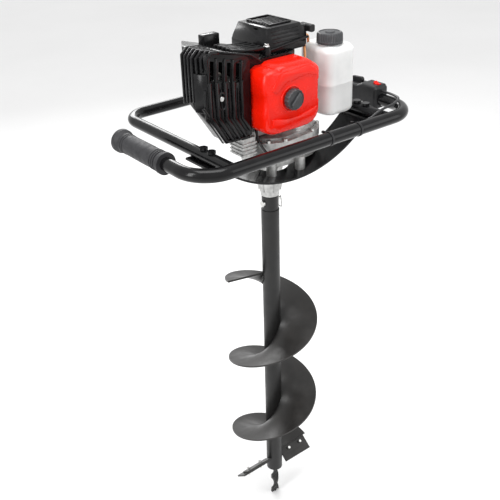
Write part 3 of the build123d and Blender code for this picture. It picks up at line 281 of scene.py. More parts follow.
finishes["gear_steel"] = plain_finish(
    "oiled gear steel", (0.22, 0.21, 0.2), (0.36, 0.35, 0.33), (0.25, 0.4), 6, 0.6, 0.01, metal=1.0)
finishes["muffler_steel"] = plain_finish(
    "heat stained steel", (0.09, 0.075, 0.065), (0.2, 0.18, 0.16), (0.45, 0.65), 18, 1.0, 0.05, metal=0.8)
finishes["seal_rubber"] = plain_finish(
    "oil seal rubber", (0.012, 0.01, 0.01), (0.03, 0.028, 0.028), (0.5, 0.7), 5, 0.5, 0.02)
finishes["cap_plastic"] = plain_finish(
    "grey black cap plastic", (0.026, 0.027, 0.03), (0.045, 0.046, 0.05), (0.38, 0.52), 8, 0.5, 0.02)
finishes["foam"] = plain_finish(
    "filter foam", (0.012, 0.012, 0.012), (0.06, 0.06, 0.058), (0.85, 0.95), 1.2, 1.1, 0.5)
finishes["cable_sheath"] = plain_finish(
    "cable sheath", (0.01, 0.01, 0.011), (0.02, 0.02, 0.022), (0.35, 0.5), 8, 0.6, 0.02)
finishes["porcelain"] = plain_finish(
    "glazed porcelain", (0.78, 0.77, 0.74), (0.86, 0.85, 0.82), (0.12, 0.2), 6, 1.0, 0.005, shine=0.7)
print("plain finishes:", len(finishes))

# %% [markdown]
# ## Paint on the drill
# The drill is brushed by soil and ice, so its paint is duller than the frame's. Its colour turns paler
# with the distance from the axis. That is partly real wear where the spoil slides and partly a painted sheen on the
# flights, while the darker band at the root beside the tube is painted shade. Hand-painted wear would look
# best on one view only.
# A large soft pattern mottles the paler band of wear and painted sheen, which is blended in by the distance from the
# axis; it suits every view.

# %% Drill paint
def distance_from_axis(tree, near, far):
    """A number that grows from 0 to 1 with the distance from the drill's axis, between two radii in millimetres."""
    where = tree.nodes.new("ShaderNodeTexCoord")
    flat = tree.nodes.new("ShaderNodeVectorMath")
    flat.operation = "MULTIPLY"
    flat.inputs[1].default_value = (1, 1, 0)
    reach = tree.nodes.new("ShaderNodeVectorMath")
    reach.operation = "LENGTH"
    spread = tree.nodes.new("ShaderNodeMapRange")
    spread.inputs["From Min"].default_value = near * MM
    spread.inputs["From Max"].default_value = far * MM
    tree.links.new(where.outputs["Object"], flat.inputs[0])
    tree.links.new(flat.outputs["Vector"], reach.inputs[0])
    tree.links.new(reach.outputs["Value"], spread.inputs["Value"])
    return spread.outputs["Result"]


def make_drill_paint():
    material, tree, shader = new_finish("satin drill paint")
    # Darker near the axis as painted shade at the flight's root, paler outwards as real wear and a painted sheen on the
    # flights.
    shaded_root_paint = mix_colours(tree, pattern(tree, 18, 0, 1), (0.0045, 0.0045, 0.0045), (0.008, 0.0078, 0.0075))
    worn_and_sheen_paint = mix_colours(tree, pattern(tree, 40, 0, 1, detail=6.0), (0.011, 0.0102, 0.0096), (0.021, 0.0192, 0.0178))
    tree.links.new(mix_colours(tree, distance_from_axis(tree, 19, 34), shaded_root_paint, worn_and_sheen_paint), shader.inputs["Base Color"])
    tree.links.new(pattern(tree, 25, 0.3, 0.46, detail=5.0), shader.inputs["Roughness"])
    relief(tree, shader, pattern(tree, 1.6, 0, 1, detail=3.0), 0.02)
    shader.inputs["Specular IOR Level"].default_value = 0.42
    return material


finishes["drill_paint"] = make_drill_paint()
print("drill paint made")

# %% [markdown]
# ## Milky tank plastic
# The tank is blown polyethylene: light goes in, scatters and comes out softened, so it looks white and
# glows a little at its edges. True glass-like transmission would show the inside too clearly.
# Subsurface scattering gives the milky look, and the wall hides the fuel as the real one does.

# %% Tank, hose and floor finishes
def make_milky(name, dark, light, scatter, rough):
    material, tree, shader = new_finish(name)
    tree.links.new(mix_colours(tree, pattern(tree, 30, 0, 1), dark, light), shader.inputs["Base Color"])
    tree.links.new(pattern(tree, 12, rough[0], rough[1]), shader.inputs["Roughness"])
    relief(tree, shader, pattern(tree, 1.5, 0, 1), 0.02)
    shader.inputs["Subsurface Weight"].default_value = 0.6
    shader.inputs["Subsurface Radius"].default_value = scatter
    shader.inputs["Subsurface Scale"].default_value = 0.01
    return material


finishes["tank_plastic"] = make_milky(
    "milky tank plastic", (0.66, 0.665, 0.66), (0.73, 0.735, 0.73), (1.0, 0.95, 0.9), (0.28, 0.4))
finishes["hose_vinyl"] = make_milky(
    "amber fuel hose", (0.62, 0.27, 0.1), (0.72, 0.36, 0.15), (0.6, 0.3, 0.1), (0.2, 0.32))
floor_finish = plain_finish("studio floor", (0.86, 0.86, 0.86), (0.89, 0.89, 0.89), (0.6, 0.75), 900, 40, 0.01)
missing = [m["slot"] for m in frame["record"]["materials"] if m["slot"] not in finishes]
print("finishes:", len(finishes), "missing:", missing)

# %% Dress every node of the frame
for part in frame["record"]["subparts"]:
    mesh = nodes[part["node"]].data
    mesh.materials.clear()
    mesh.materials.append(finishes[part["material_slot"]])


def finish_piece(piece, body, slot, stands_for=()):
    """Gives a piece its finish, puts it on a body and hides the nodes it stands for."""
    piece.data.materials.clear()
    piece.data.materials.append(finishes[slot])
    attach(piece, body)
    if stands_for:
        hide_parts(*stands_for)
    print(piece.name, "has", len(piece.data.polygons), "faces")
    return piece

# %% [markdown]
# ## The cylinder shroud
# A moulded hood carries the fan's air over the hot cylinder. Its ribs stiffen a thin wall and hide sink marks.
# The ribs could be a displacement, but they have square shoulders and run round corners, which displacement
# smears. So the hood is a plain block cut to shape and hollowed, with each rib added as a strip of its own.

# %% Shroud: the hollow hood
(hood_left, hood_front, hood_low), (hood_right, hood_rear, hood_top) = span("engine_shroud")


def hood_block(inset):
    """The hood's outside as a solid, with every wall moved in by the inset."""
    left, right = hood_left + inset, hood_right + max(0, 4 * (inset - 4))
    low, top = hood_low + inset, hood_top - inset
    front, rear = hood_front + inset, hood_rear - inset
    side = [
        (left, hood_low + 70), (left, top - 13), (left + 13, top - 1), (left + 41, top - 4),
        (right, top - 22), (right, low), (hood_left + 46, low + 3),
    ]
    plan = [
        (left + 12, front), (right + 9, front), (right + 9, rear), (left + 37, rear),
        (left, hood_front + 63 - inset), (left, hood_front + 27 + inset),
    ]
    bm = bmesh.new()
    add_prism(bm, side, front, rear, "Y")
    block = new_piece("hood", bm)
    bm = bmesh.new()
    add_prism(bm, plan, hood_low - 20, hood_top + 20, "Z")
    carve(block, new_piece("hood_plan", bm), "INTERSECT")
    bm = bmesh.new()
    bm.from_mesh(block.data)
    under = Vector((0.795, -0.311, 0.521))
    place = Vector((hood_left - 1.5, hood_front + 55, hood_low + 82.5)) * MM + under * inset * MM
    everything = bm.verts[:] + bm.edges[:] + bm.faces[:]
    cut = bmesh.ops.bisect_plane(bm, geom=everything, plane_co=place, plane_no=under, clear_inner=True)
    rim = [e for e in cut["geom_cut"] if isinstance(e, bmesh.types.BMEdge)]
    bmesh.ops.contextual_create(bm, geom=rim)
    bm.to_mesh(block.data)
    bm.free()
    return block


hood = hood_block(4.0)
carve(hood, hood_block(6.5))
print("hood", [round(v / MM) for v in hood.dimensions], "mm")

# %% Shroud: cooling slots through the walls
rib_xs = [hood_left + 18, hood_left + 34, hood_left + 52, hood_left + 70, hood_left + 89]
bm = bmesh.new()
for x in rib_xs[1:]:
    z = hood_top - 9 - 0.25 * (x - hood_left)
    outline = [(x - 13.5, z - 36), (x - 5, z - 37), (x - 3, z - 3), (x - 11, z - 1)]
    add_prism(bm, outline, hood_front - 5, hood_front + 12, "Y")
for n in range(4):
    y = hood_front + 33 + 10 * n
    outline = [(y - 2.6, hood_top - 60), (y + 2.6, hood_top - 60), (y + 2.6, hood_top - 22), (y - 2.6, hood_top - 22)]
    add_prism(bm, outline, hood_left - 5, hood_left + 12, "X")
carve(hood, new_piece("slots", bm))
soften(hood, 1.6, 3)
print("slots:", len(rib_xs) + 3)

# %% Shroud: ribs on the front, the left side and the shoulder
strips = []


def add_strip(outline, low, high, axis, soft=0.8):
    bm = bmesh.new()
    add_prism(bm, outline, low, high, axis)
    strip = new_piece("strip", bm)
    soften(strip, soft, 2)
    strips.append(strip)


lean = Vector((46.0, -74.0)).normalized()
for n, x in enumerate(rib_xs):
    top = hood_low + 121 - 2.5 * n
    knee = hood_low + 58 - 4 * n
    run = min((knee - hood_low - 4) / -lean.y, (hood_right - 3 - x) / lean.x)
    foot = (x + lean.x * run, knee + lean.y * run)
    add_strip(thick_line([(x, top), (x, knee), foot], 8.0), hood_front, hood_front + 7, "Y", 1.8)
    groove = [(x - 9, top - 12), (x - 9, knee - 2), (foot[0] - 9, foot[1])]
    add_strip(thick_line(groove, 2.4), hood_front + 2, hood_front + 7, "Y", 0.6)
    z = hood_top - 7 - 0.25 * (x - hood_left)
    add_strip(thick_line([(x - 1.5, top - 3), (x + 1.5, z)], 4.5), hood_front + 1.5, hood_front + 8, "Y", 0.9)
ridge = [(hood_left + 38, hood_top - 5), (hood_right, hood_top - 23), (hood_right + 23, hood_top - 39)]
add_strip(thick_line(ridge, 3.2), hood_front, hood_front + 5, "Y", 1.0)


def shoulder_band(depth, start_z, step_in=0.0):
    """The side profile of the hood as a band, from a height on the left wall over to the ridge."""
    left = hood_left + step_in
    end = hood_left + 41
    return [
        (left, start_z), (left, hood_top - 13), (left + 13, hood_top - 1), (end, hood_top - 4),
        (end, hood_top - 4 - depth), (left + 13 + 0.4 * depth, hood_top - 1 - depth),
        (left + depth, hood_top - 13 - 0.4 * depth), (left + depth, start_z),
    ]


for n in range(4):
    y = hood_front + 29 + 10 * n
    add_strip(shoulder_band(6.0, hood_low + 84 - 3 * n), y - 2.2, y + 2.2, "Y")
for n, step_in in enumerate((11, 7, 3)):
    y = hood_front + 3 + 8.5 * n
    add_strip(shoulder_band(6.0, hood_top - 34 - 3 * n, step_in), y - 2.0, y + 2.0, "Y")
bm = bmesh.new()
add_block(bm, (hood_left + 73, hood_front + 92, hood_top - 24), (hood_right, hood_front + 110, hood_top))
latch = new_piece("latch", bm)
soften(latch, 2.0, 3)
strips.append(latch)
ribs = join("shroud_ribs", strips)
print("ribs:", len(ribs.data.polygons), "faces")

# %% Shroud: name panel, edge lip and screw boss
corner = (hood_left, hood_front + 27), (hood_left + 12, hood_front)
across = (Vector(corner[1]) - Vector(corner[0])).normalized()
outwards = Vector((across.y, -across.x))
if outwards.x > 0:
    outwards = -outwards


def on_corner(along, out):
    """A point of the plan along the flat corner, and out from it."""
    point = Vector(corner[0]) + across * along - outwards * (1.0 - out)
    return point.x, point.y


bm = bmesh.new()
plate = [on_corner(1.5, -4), on_corner(28, -4), on_corner(28, 0.5), on_corner(1.5, 0.5)]
add_prism(bm, plate, hood_low + 66, hood_top - 40, "Z")
panel = new_piece("panel", bm)
soften(panel, 1.5, 3)
bm = bmesh.new()
lip = thick_line([(hood_left + 4, hood_low + 78), (hood_left + 49, hood_low + 4), (hood_right - 6, hood_low + 2)], 5)
add_prism(bm, lip, hood_front + 1, hood_front + 8, "Y")
edge = new_piece("edge", bm)
soften(edge, 1.5, 3)
boss_x, boss_z = hood_left + 43, hood_low + 83
bm = bmesh.new()
ring = []
for step in range(28):
    angle = 2 * math.pi * step / 28
    ring.append((boss_x + 8 * math.cos(angle), boss_z + 8 * math.sin(angle) + (9 if math.sin(angle) > 0 else -9)))
add_prism(bm, ring, hood_front - 0.5, hood_front + 8, "Y")
boss = new_piece("boss", bm)
bm = bmesh.new()
hollow = [(boss_x + (u - boss_x) * 0.66, boss_z + (v - boss_z) * 0.82) for u, v in ring]
add_prism(bm, hollow, hood_front - 5, hood_front + 4, "Y")
carve(boss, new_piece("hollow", bm))
soften(boss, 0.9, 2)
shroud = join("shroud_shell", [hood, ribs, panel, edge, boss])
finish_piece(shroud, "power_head", "cowl_plastic", ["engine_shroud"])

bm = bmesh.new()
add_turned(bm, [(hood_front + 4, 4.6), (hood_front + 1.6, 4.6), (hood_front + 1.0, 4.0)],
           (boss_x, 0, boss_z + 4), "Y", 24)
finish_piece(new_piece("shroud_screw", bm), "power_head", "zinc_steel")

# %% [markdown]
# ## The filter cover
# A red cover clips over the air filter, with a dished crease round its knob and notches at one side.
# A subdivision surface would give soft creases but drift off the mounting outline.
# The outline stays exact here, and a stack of its own copies, each moved in and forward, builds the face.

# %% Filter cover
(cover_left, cover_front, cover_low), (cover_right, cover_back, cover_high) = span("filter_cover")


def cover_outline(inset):
    """The cover seen from the front, with clipped corners, moved in by the inset."""
    left, right = cover_left + inset, cover_right - inset
    low, high = cover_low + inset, cover_high - inset
    return [
        (left, low + 16), (left, low + 47), (left + 1.8, low + 52), (left + 1.8, low + 74), (left, low + 79),
        (left, high - 20), (left + 5, high - 9), (left + 16, high - 4),
        (left + 30, high - 5), (left + 36, high - 1), (left + 46, high), (right - 26, high),
        (right - 5, high - 13), (right, high - 18), (right, high - 33), (right - 2, high - 37),
        (right - 2, low + 46), (right, low + 42), (right, low + 22), (right - 5, low + 12), (right - 14, low + 4),
        (right - 26, low + 1), (right - 40, low), (left + 30, low), (left + 18, low + 1), (left + 6, low + 7),
    ]


def add_stack(bm, layers):
    """Adds a solid through outlines of equal length, each at its own y."""
    rings = [[bm.verts.new(to_space(u, v, y, "Y")) for u, v in outline] for y, outline in layers]
    for first, second in zip(rings, rings[1:]):
        for i in range(len(first)):
            j = (i + 1) % len(first)
            bm.faces.new((first[i], first[j], second[j], second[i]))
    bm.faces.new(rings[0])
    bm.faces.new(list(reversed(rings[-1])))


bm = bmesh.new()
add_stack(bm, [
    (cover_back, cover_outline(0)), (cover_front + 13, cover_outline(0.6)),
    (cover_front + 7, cover_outline(2.5)), (cover_front + 2.5, cover_outline(6.0)),
])
cover = new_piece("filter_cover_shell", bm)
bm = bmesh.new()
add_stack(bm, [
    (cover_back + 5, cover_outline(6)), (cover_front + 12, cover_outline(6.5)),
    (cover_front + 8, cover_outline(11)),
])
carve(cover, new_piece("cover_inside", bm))
soften(cover, 1.7, 3, 30)
print("cover", [round(v / MM) for v in cover.dimensions], "mm")

# %% Filter cover: raised brow, chin and knob seat
knob_low, knob_high = span("filter_knob")
knob_x, knob_z = (knob_low[0] + knob_high[0]) / 2, (knob_low[2] + knob_high[2]) / 2
face_y = cover_front + 2.5


def add_pad(name, outline, rise, soft):
    """A pad that stands proud of the cover's face."""
    bm = bmesh.new()
    middle = Vector((sum(u for u, v in outline), sum(v for u, v in outline))) / len(outline)
    inner = [tuple(middle + (Vector(p) - middle) * 0.93) for p in outline]
    add_stack(bm, [(face_y + 3, outline), (face_y - rise * 0.4, outline), (face_y - rise, inner)])
    pad = new_piece(name, bm)
    soften(pad, soft, 3, 15)
    return pad


brow = add_pad("brow", [
    (cover_left + 34, cover_high - 12), (cover_right - 28, cover_high - 9), (cover_right - 10, cover_high - 22),
    (cover_right - 10, cover_high - 32), (cover_right - 30, cover_high - 27), (knob_x - 12, cover_high - 32),
    (cover_left + 24, cover_high - 48), (cover_left + 14, cover_high - 40),
], 2.2, 1.4)
chin = add_pad("chin", [
    (cover_left + 16, cover_low + 34), (knob_x - 10, cover_low + 27), (knob_x + 16, cover_low + 27),
    (cover_right - 10, cover_low + 36), (cover_right - 12, cover_low + 20), (cover_right - 34, cover_low + 10),
    (cover_left + 26, cover_low + 9), (cover_left + 14, cover_low + 18),
], 2.2, 1.4)
bm = bmesh.new()
add_turned(bm, [(face_y + 4, 25), (face_y - 1.2, 24.5), (face_y - 2.0, 23.5), (face_y - 2.0, 21.6), (face_y + 4, 21.2)],
           (knob_x, 0, knob_z), "Y", 64)
seat = new_piece("seat", bm)
soften(seat, 0.5, 2)
whole_cover = join("filter_cover_shell", [cover, brow, chin, seat])
finish_piece(whole_cover, "power_head", "red_plastic", ["filter_cover"])

# %% [markdown]
# ## Knob, cap and grips
# Everything a gloved hand turns has flutes. A flute could be a bump texture, but the outline of a cap shows it.
# Each one is turned from a profile and its rim is pushed in and out with a wave as it is made.

# %% Fluted turnings
def add_fluted(bm, profile, centre, axis, flutes, depth, steps):
    """A turned shape whose radius waves round the rim. Profile rows are (along, radius, share of the wave)."""
    rings = []
    for along, radius, share in profile:
        ring = []
        for step in range(steps):
            angle = 2 * math.pi * step / steps
            wave = max(-0.6, math.cos(flutes * angle)) + 0.6
            reach = radius - depth * share * (1.6 - wave) / 1.6
            u, v = reach * math.cos(angle), reach * math.sin(angle)
            place = {"X": (along, u, v), "Y": (u, along, v), "Z": (u, v, along)}[axis]
            ring.append(bm.verts.new((Vector(centre) + Vector(place)) * MM))
        rings.append(ring)
    for first, second in zip(rings, rings[1:]):
        for i in range(steps):
            j = (i + 1) % steps
            bm.faces.new((first[i], first[j], second[j], second[i]))
    bm.faces.new(list(reversed(rings[0])))
    bm.faces.new(rings[-1])


def smooth(piece, angle=40):
    piece.data.shade_smooth()
    piece.data.set_sharp_from_angle(angle=math.radians(angle))
    return piece


bm = bmesh.new()
front = knob_low[1]
add_fluted(bm, [
    (cover_front - 0.3, 18.5, 0), (cover_front - 0.6, 19.6, 0.6), (cover_front - 9, 20, 1),
    (cover_front - 11, 19.2, 0.8),
    (cover_front - 12, 17.6, 0), (cover_front - 10.4, 16.4, 0), (cover_front - 10.2, 0.5, 0),
], (knob_x, 0, knob_z), "Y", 16, 1.3, 192)
dial = smooth(new_piece("dial", bm))
bm = bmesh.new()
grip = thick_line([(knob_x - 10, knob_z - 10), (knob_x + 10, knob_z + 10)], 7.5)
add_prism(bm, grip, front + 0.6, cover_front - 8, "Y")
wing = new_piece("wing", bm)
soften(wing, 1.8, 3)
bm = bmesh.new()
add_turned(bm, [(cover_front, 3), (cover_front + 31, 3)], (knob_x, 0, knob_z), "Y", 24)
stem = new_piece("stem", bm)
finish_piece(join("filter_knob_dial", [dial, wing, stem]), "filter_knob", "cap_plastic", ["filter_knob"])

cap_low, cap_high = span("tank_cap")
cap_x, cap_y = (cap_low[0] + cap_high[0]) / 2, (cap_low[1] + cap_high[1]) / 2
bm = bmesh.new()
add_fluted(bm, [
    (cap_low[2], 24.2, 0), (cap_low[2] + 1, 25.4, 0), (cap_low[2] + 4.5, 25.6, 0), (cap_low[2] + 5.5, 25.6, 1),
    (cap_high[2] - 5, 25.2, 1), (cap_high[2] - 2, 23.6, 0.4), (cap_high[2] - 1.2, 21.5, 0),
    (cap_high[2] - 2.4, 20.5, 0), (cap_high[2] - 2.0, 9.5, 0), (cap_high[2], 8.5, 0), (cap_high[2], 0.5, 0),
], (cap_x, cap_y, 0), "Z", 30, 1.5, 240)
finish_piece(smooth(new_piece("tank_cap_fluted", bm)), "tank_cap", "cap_plastic", ["tank_cap"])

# %% [markdown]
# ## Fuel tank
# The tank is blown in one piece, so every edge is a generous round and a thin parting line runs over it.
# A subdivided cage would do, but its rounds depend on how the cage is cut.
# A rounded plan, stacked at many heights with a shoulder that turns smoothly, keeps the rounds exact.

# %% Fuel tank
(tank_left, tank_front, tank_low), (tank_right, tank_rear, _) = span("fuel_tank")
shoulder_z = cap_low[2] - 1


def rounded_plan(inset, corner_r, steps=8):
    """The tank's plan with round corners, moved in by the inset."""
    points = []
    left, right, near, far = tank_left + inset, tank_right - inset, tank_front + inset, tank_rear - inset
    for cx, cy, start in ((right - corner_r, far - corner_r, 0), (left + corner_r, far - corner_r, 90),
                          (left + corner_r, near + corner_r, 180), (right - corner_r, near + corner_r, 270)):
        for step in range(steps + 1):
            angle = math.radians(start + 90 * step / steps)
            points.append((cx + corner_r * math.cos(angle), cy + corner_r * math.sin(angle)))
    return points


def tank_layers():
    """Heights with the inset and corner radius of the tank at each."""
    layers = []
    for step in range(9):
        turn = math.radians(90 * step / 8)
        layers.append((tank_low + 12 * (1 - math.sin(turn)), 12 * (1 - math.cos(turn)) * 0.9, 17))
    layers.sort()
    for z, proud in ((40, 0.3), (60.5, 0.3), (61.5, 0.05), (62.5, 0.05), (63.5, 0.3), (90, 0.3)):
        layers.append((tank_low + z, proud, 17))
    for step in range(9):
        turn = math.radians(90 * step / 8)
        layers.append((shoulder_z - 15 + 15 * math.sin(turn), 0.3 + 17 * (1 - math.cos(turn)), 17 - 8 * step / 8))
    return layers


bm = bmesh.new()
rings = []
for z, inset, corner_r in tank_layers():
    rings.append([bm.verts.new((x * MM, y * MM, z * MM)) for x, y in rounded_plan(inset, corner_r)])
for first, second in zip(rings, rings[1:]):
    for i in range(len(first)):
        j = (i + 1) % len(first)
        bm.faces.new((first[i], first[j], second[j], second[i]))
bm.faces.new(list(reversed(rings[0])))
bm.faces.new(rings[-1])
tank = smooth(new_piece("tank_body", bm), 60)
bm = bmesh.new()
add_turned(bm, [(shoulder_z - 6, 23.5), (shoulder_z - 0.5, 22.5), (shoulder_z + 0.6, 20.4), (shoulder_z + 13, 20)],
           (cap_x, cap_y, 0), "Z", 64)
neck = smooth(new_piece("neck", bm))
finish_piece(join("fuel_tank_shell", [tank, neck]), "power_head", "tank_plastic", ["fuel_tank"])

# %% [markdown]
# ## Starter housing
# The starter housing is a moulded lid over the rope pulley: louvres on its flat top let the cooling air in,
# and a bolt holds each of its three lugs. The louvres could be cut through, but the pulley room lies below.
# Raised bars with dark gaps between them look the same from outside and leave the room closed.
# Sloping slats carry the same pattern over the roof beside it.

# %% Starter housing: the lid
(lid_left, lid_front, lid_low), (lid_right, lid_rear, lid_top) = span("recoil_housing")
pulley_low, pulley_high = span("starter_pulley")
lid_slope_z, lid_side_z = lid_low + 14, lid_low + 18
bm = bmesh.new()
add_prism(bm, [
    (lid_left + 5, lid_low), (lid_left + 5, lid_slope_z), (lid_left + 17, lid_top - 1), (lid_right - 13, lid_top - 1),
    (lid_right - 7, lid_side_z), (lid_right - 7, lid_low),
], lid_front + 7, lid_rear - 7, "Y")
lid = new_piece("starter_lid", bm)
bm = bmesh.new()
add_prism(bm, [
    (lid_front + 5, lid_low - 1), (lid_front + 5, lid_slope_z), (lid_front + 16, lid_top + 1),
    (lid_rear - 14, lid_top + 1), (lid_rear - 6, lid_side_z), (lid_rear - 6, lid_low - 1),
], lid_left - 2, lid_right + 2, "X")
carve(lid, new_piece("lid_slopes", bm), "INTERSECT")
pulley_mid = (Vector(pulley_low) + Vector(pulley_high)) / 2
bm = bmesh.new()
add_turned(bm, [(lid_low - 5, 28.5), (lid_top - 4.5, 28.5)], (pulley_mid.x, pulley_mid.y, 0), "Z", 64)
carve(lid, new_piece("pulley_room", bm))
soften(lid, 2.5, 3, 20)
lug_bolts = (
    (lid_left + 13, lid_rear - 9), (lid_left + 9, lid_front + 9), (lid_right - 9, lid_rear - 11),
)
details = [lid]
pull_low, pull_high = span("starter_handle")
guide_y, guide_z = (pull_low[1] + pull_high[1]) / 2, (pull_low[2] + pull_high[2]) / 2
bm = bmesh.new()
add_block(bm, (lid_right - 14, guide_y - 9, lid_low), (lid_right + 5, guide_y + 9, guide_z + 8))
guide = new_piece("rope_guide", bm)
bm = bmesh.new()
add_turned(bm, [(lid_right - 20, 4.2), (lid_right + 10, 4.2)], (0, guide_y, guide_z), "X", 24)
carve(guide, new_piece("rope_hole", bm))
soften(guide, 1.8, 3)
details.append(guide)
for x, y in lug_bolts:
    bm = bmesh.new()
    add_turned(bm, [(lid_low, 8.2), (lid_low + 14, 7.8), (lid_low + 16, 7.0)], (x, y, 0), "Z", 32)
    details.append(smooth(new_piece("lug", bm)))
print("starter lid", [round(v / MM) for v in lid.dimensions], "mm")

# %% Starter housing: louvres, edge bars and bolts
bm = bmesh.new()
for n in range(7):
    y = lid_front + 34 + 8 * n
    add_block(bm, (lid_left + 28, y - 2.4, lid_top - 2), (lid_right - 24, y + 2.4, lid_top + 1.2))
louvres = new_piece("louvres", bm)
soften(louvres, 1.0, 3)
details.append(louvres)
for n in range(4):
    share = (n + 1) / 5
    y, z = lid_front + 5 + 11 * share, lid_slope_z + (lid_top - lid_slope_z) * share
    bm = bmesh.new()
    add_block(bm, (lid_left + 22, y - 1.0, z - 2.4), (lid_right - 20, y + 2.0, z + 0.9))
    slat = new_piece("slat", bm)
    soften(slat, 1.0, 3)
    details.append(slat)
frame_line = [
    (lid_left + 32, lid_front + 29), (lid_right - 24, lid_front + 29), (lid_right - 24, lid_rear - 20),
    (lid_left + 32, lid_rear - 20), (lid_left + 32, lid_front + 29),
]
bm = bmesh.new()
for first, second in zip(frame_line, frame_line[1:]):
    add_prism(bm, thick_line([first, second], 3.0), lid_top - 1, lid_top + 2.2, "Z")
surround = new_piece("surround", bm)
soften(surround, 0.9, 2)
details.append(surround)
bm = bmesh.new()
add_prism(bm, thick_line([(lid_left + 8, lid_low + 8), (lid_right - 1, lid_low + 18)], 4.0),
          lid_front + 3, lid_front + 9, "Y")
brow_bar = new_piece("brow_bar", bm)
soften(brow_bar, 1.4, 3)
details.append(brow_bar)
finish_piece(join("starter_housing_lid", details), "power_head", "cowl_plastic", ["recoil_housing"])

cowl_low, cowl_high = span("fan_cowl")
slats = []
for n in range(5):
    y = cowl_low[1] + 8 + 12 * n
    bm = bmesh.new()
    slope = [(hood_right - 30, hood_top - 15), (cowl_low[0] + 4, hood_top - 21), (lid_left - 2, cowl_high[2] - 1)]
    add_prism(bm, thick_line(slope, 7.0), y - 2.6, y + 2.6, "Y")
    slat = new_piece("roof_slat", bm)
    soften(slat, 1.4, 3)
    slats.append(slat)
finish_piece(join("roof_slats", slats), "power_head", "cowl_plastic")

bm = bmesh.new()
for x, y in lug_bolts:
    add_turned(bm, [(lid_low + 15.5, 6.0), (lid_low + 17.0, 6.0), (lid_low + 17.6, 5.4)], (x, y, 0), "Z", 32)
    add_turned(bm, [(lid_low + 17, 4.2), (lid_low + 20.5, 4.2), (lid_low + 21.2, 3.4)], (x, y, 0), "Z", 6)
bolts = new_piece("starter_bolts", bm)
bolts.data.set_sharp_from_angle(angle=math.radians(30))
finish_piece(bolts, "power_head", "zinc_steel")
print("starter bolts:", len(lug_bolts))

# %% [markdown]
# ## Weld beads on the flight
# The flight is a strip of steel wound on edge and stitched to the tube with short welds, then painted over.
# A displaced strip could draw them; here every stitch is a row of overlapping drops, the way a weld is laid.

# %% Weld stitches
flight_low, flight_high = span("flighting")
tube_low, tube_high = span("drill_tube")
tube_r = (tube_high[0] - tube_low[0]) / 2
flight_pitch, flight_top_angle = 210.0, 190.0
stitch_start, stitch_every, stitch_sweep, drops_in_stitch = 20, 120, 26, 7
drop_r, root_offset = 3.0, 3.2
bm = bmesh.new()
whole_turn = 360 * (flight_high[2] - flight_low[2]) / flight_pitch
stitches = int(whole_turn // stitch_every)
for stitch in range(stitches):
    for drop in range(drops_in_stitch):
        back_turn = stitch_start + stitch * stitch_every + drop * stitch_sweep / (drops_in_stitch - 1)
        angle = math.radians(flight_top_angle - back_turn)
        height = flight_high[2] - flight_pitch * back_turn / 360
        for side in (-1, 1):
            place = Vector((tube_r * math.cos(angle), tube_r * math.sin(angle), height + side * root_offset)) * MM
            made = bmesh.ops.create_icosphere(bm, subdivisions=2, radius=drop_r * MM)
            bmesh.ops.translate(bm, verts=made["verts"], vec=place)
finish_piece(smooth(new_piece("flight_welds", bm), 80), "drill", "drill_paint")
print("weld stitches:", stitches)

# %% [markdown]
# ## Handle collars
# The rubber sleeves end in thicker collars that keep a mitten from sliding off, with a few bands round them.
# The bands are turned as separate rings, since a moulded band has its own small rounds at both edges.

# %% Grip collars
grip_low, grip_high = span("left_grip")
grip_x, grip_z = (grip_low[0] + grip_high[0]) / 2, (grip_low[2] + grip_high[2]) / 2
bm = bmesh.new()
for y in (grip_low[1] + 16, grip_low[1] + 22, grip_low[1] + 28, grip_high[1] - 26, grip_high[1] - 32):
    add_turned(bm, [(y - 1.6, 17.6), (y - 1.0, 19.4), (y + 1.0, 19.4), (y + 1.6, 17.6)], (grip_x, 0, grip_z), "Y", 64)
finish_piece(smooth(new_piece("grip_bands", bm), 50), "power_head", "grip_rubber")

# %% [markdown]
# ## Fuel return hose
# A second amber hose rises beside the starter housing and bends down to the tank's shoulder.
# Its other end is left loose here: where it goes inside the housing is not known.
# It is drawn as a centre line smoothed into a curve, with an even round section.

# %% Fuel return hose
def add_hose(name, stops, radius):
    """A round hose through a few stops, as a mesh with closed ends."""
    line = bpy.data.curves.new(name, "CURVE")
    line.dimensions = "3D"
    line.resolution_u = 10
    line.bevel_depth = radius * MM
    line.bevel_resolution = 5
    line.use_fill_caps = True
    spline = line.splines.new("BEZIER")
    spline.bezier_points.add(len(stops) - 1)
    for stop, place in zip(spline.bezier_points, stops):
        stop.co = Vector(place) * MM
        stop.handle_left_type = stop.handle_right_type = "AUTO"
    holder = bpy.data.objects.new(name, line)
    bpy.context.scene.collection.objects.link(holder)
    graph = bpy.context.evaluated_depsgraph_get()
    mesh = bpy.data.meshes.new_from_object(holder.evaluated_get(graph))
    bpy.data.objects.remove(holder)
    mesh.name = name
    piece = bpy.data.objects.new(name, mesh)
    bpy.context.scene.collection.objects.link(piece)
    return piece


return_hose = add_hose("return_hose", [
    (lid_right + 4, 44, lid_low - 12), (lid_right + 8, 42, lid_low + 4), (lid_right + 17, 36, lid_low + 12),
    (lid_right + 26, 30, lid_low + 6), (lid_right + 32, 26, lid_low - 14),
], 3.6)
finish_piece(return_hose, "power_head", "hose_vinyl")

# %% [markdown]
# ## Light, floor and camera
# Black gloss shows nothing but what it reflects, so the lamps are drawn as the long soft shapes that should
# run along the tubes: one overhead, one tall strip on the left, a broad fill on the right.
# A sunny sky would light the scene just as brightly but fill the black parts with grey.

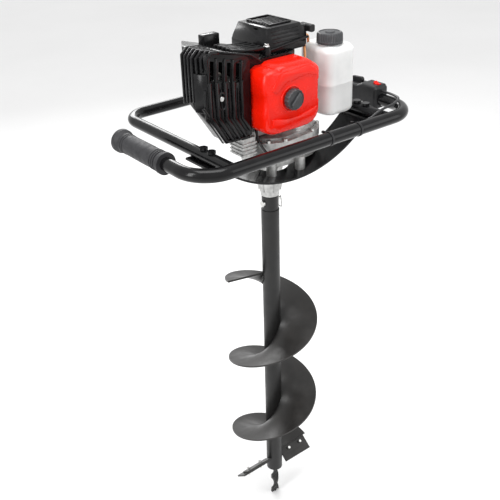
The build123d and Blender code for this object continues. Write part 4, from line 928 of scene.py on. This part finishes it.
# %% Studio
scene = bpy.context.scene
scene.view_settings.view_transform = "Standard"
world = bpy.data.worlds.new("studio")
world.use_nodes = True
backdrop = world.node_tree.nodes["Background"]
backdrop.inputs["Color"].default_value = (1.0, 1.0, 1.0, 1.0)
backdrop.inputs["Strength"].default_value = 0.92
scene.world = world


def add_lamp(name, place, target, size, power):
    """A soft rectangular lamp that faces a target. Size is (width, height) in metres."""
    lamp = bpy.data.lights.new(name, "AREA")
    lamp.shape = "RECTANGLE"
    lamp.size, lamp.size_y = size
    lamp.energy = power
    holder = bpy.data.objects.new(name, lamp)
    holder.location = place
    holder.rotation_euler = (Vector(target) - Vector(place)).to_track_quat("-Z", "Y").to_euler()
    scene.collection.objects.link(holder)


middle = (0, 0, 0.9)
add_lamp("overhead", (-0.2, -0.3, 2.9), middle, (1.6, 1.2), 34)
add_lamp("left_strip", (-2.3, -0.2, 1.9), middle, (0.5, 1.8), 30)
add_lamp("right_fill", (1.6, -2.0, 1.6), middle, (1.4, 1.4), 10)
add_lamp("rear_rim", (0.8, 2.3, 2.0), middle, (1.6, 0.8), 30)

bm = bmesh.new()
bmesh.ops.create_grid(bm, x_segments=24, y_segments=24, size=20.0)
floor = new_piece("studio_floor", bm)
floor.data.materials.append(floor_finish)

# %% Camera
azimuth, tilt, roll = math.radians(-37.41), math.radians(29.05), math.radians(-1.82)
back = Vector((math.sin(azimuth) * math.cos(tilt), -math.cos(azimuth) * math.cos(tilt), math.sin(tilt)))
level = Vector((math.cos(azimuth), math.sin(azimuth), 0))
upright = back.cross(level)
right = math.cos(roll) * level + math.sin(roll) * upright
up = math.cos(roll) * upright - math.sin(roll) * level
eye = bpy.data.objects.new("studio_camera", bpy.data.cameras.new("studio_camera"))
eye.data.lens = 57.0
eye.data.sensor_width = 36.0
turn = Matrix((right, up, back)).transposed().to_4x4()
eye.matrix_world = Matrix.Translation((-0.9248, -1.1364, 1.5145)) @ turn
scene.collection.objects.link(eye)
scene.camera = eye
print("camera at", [round(v, 3) for v in eye.location])
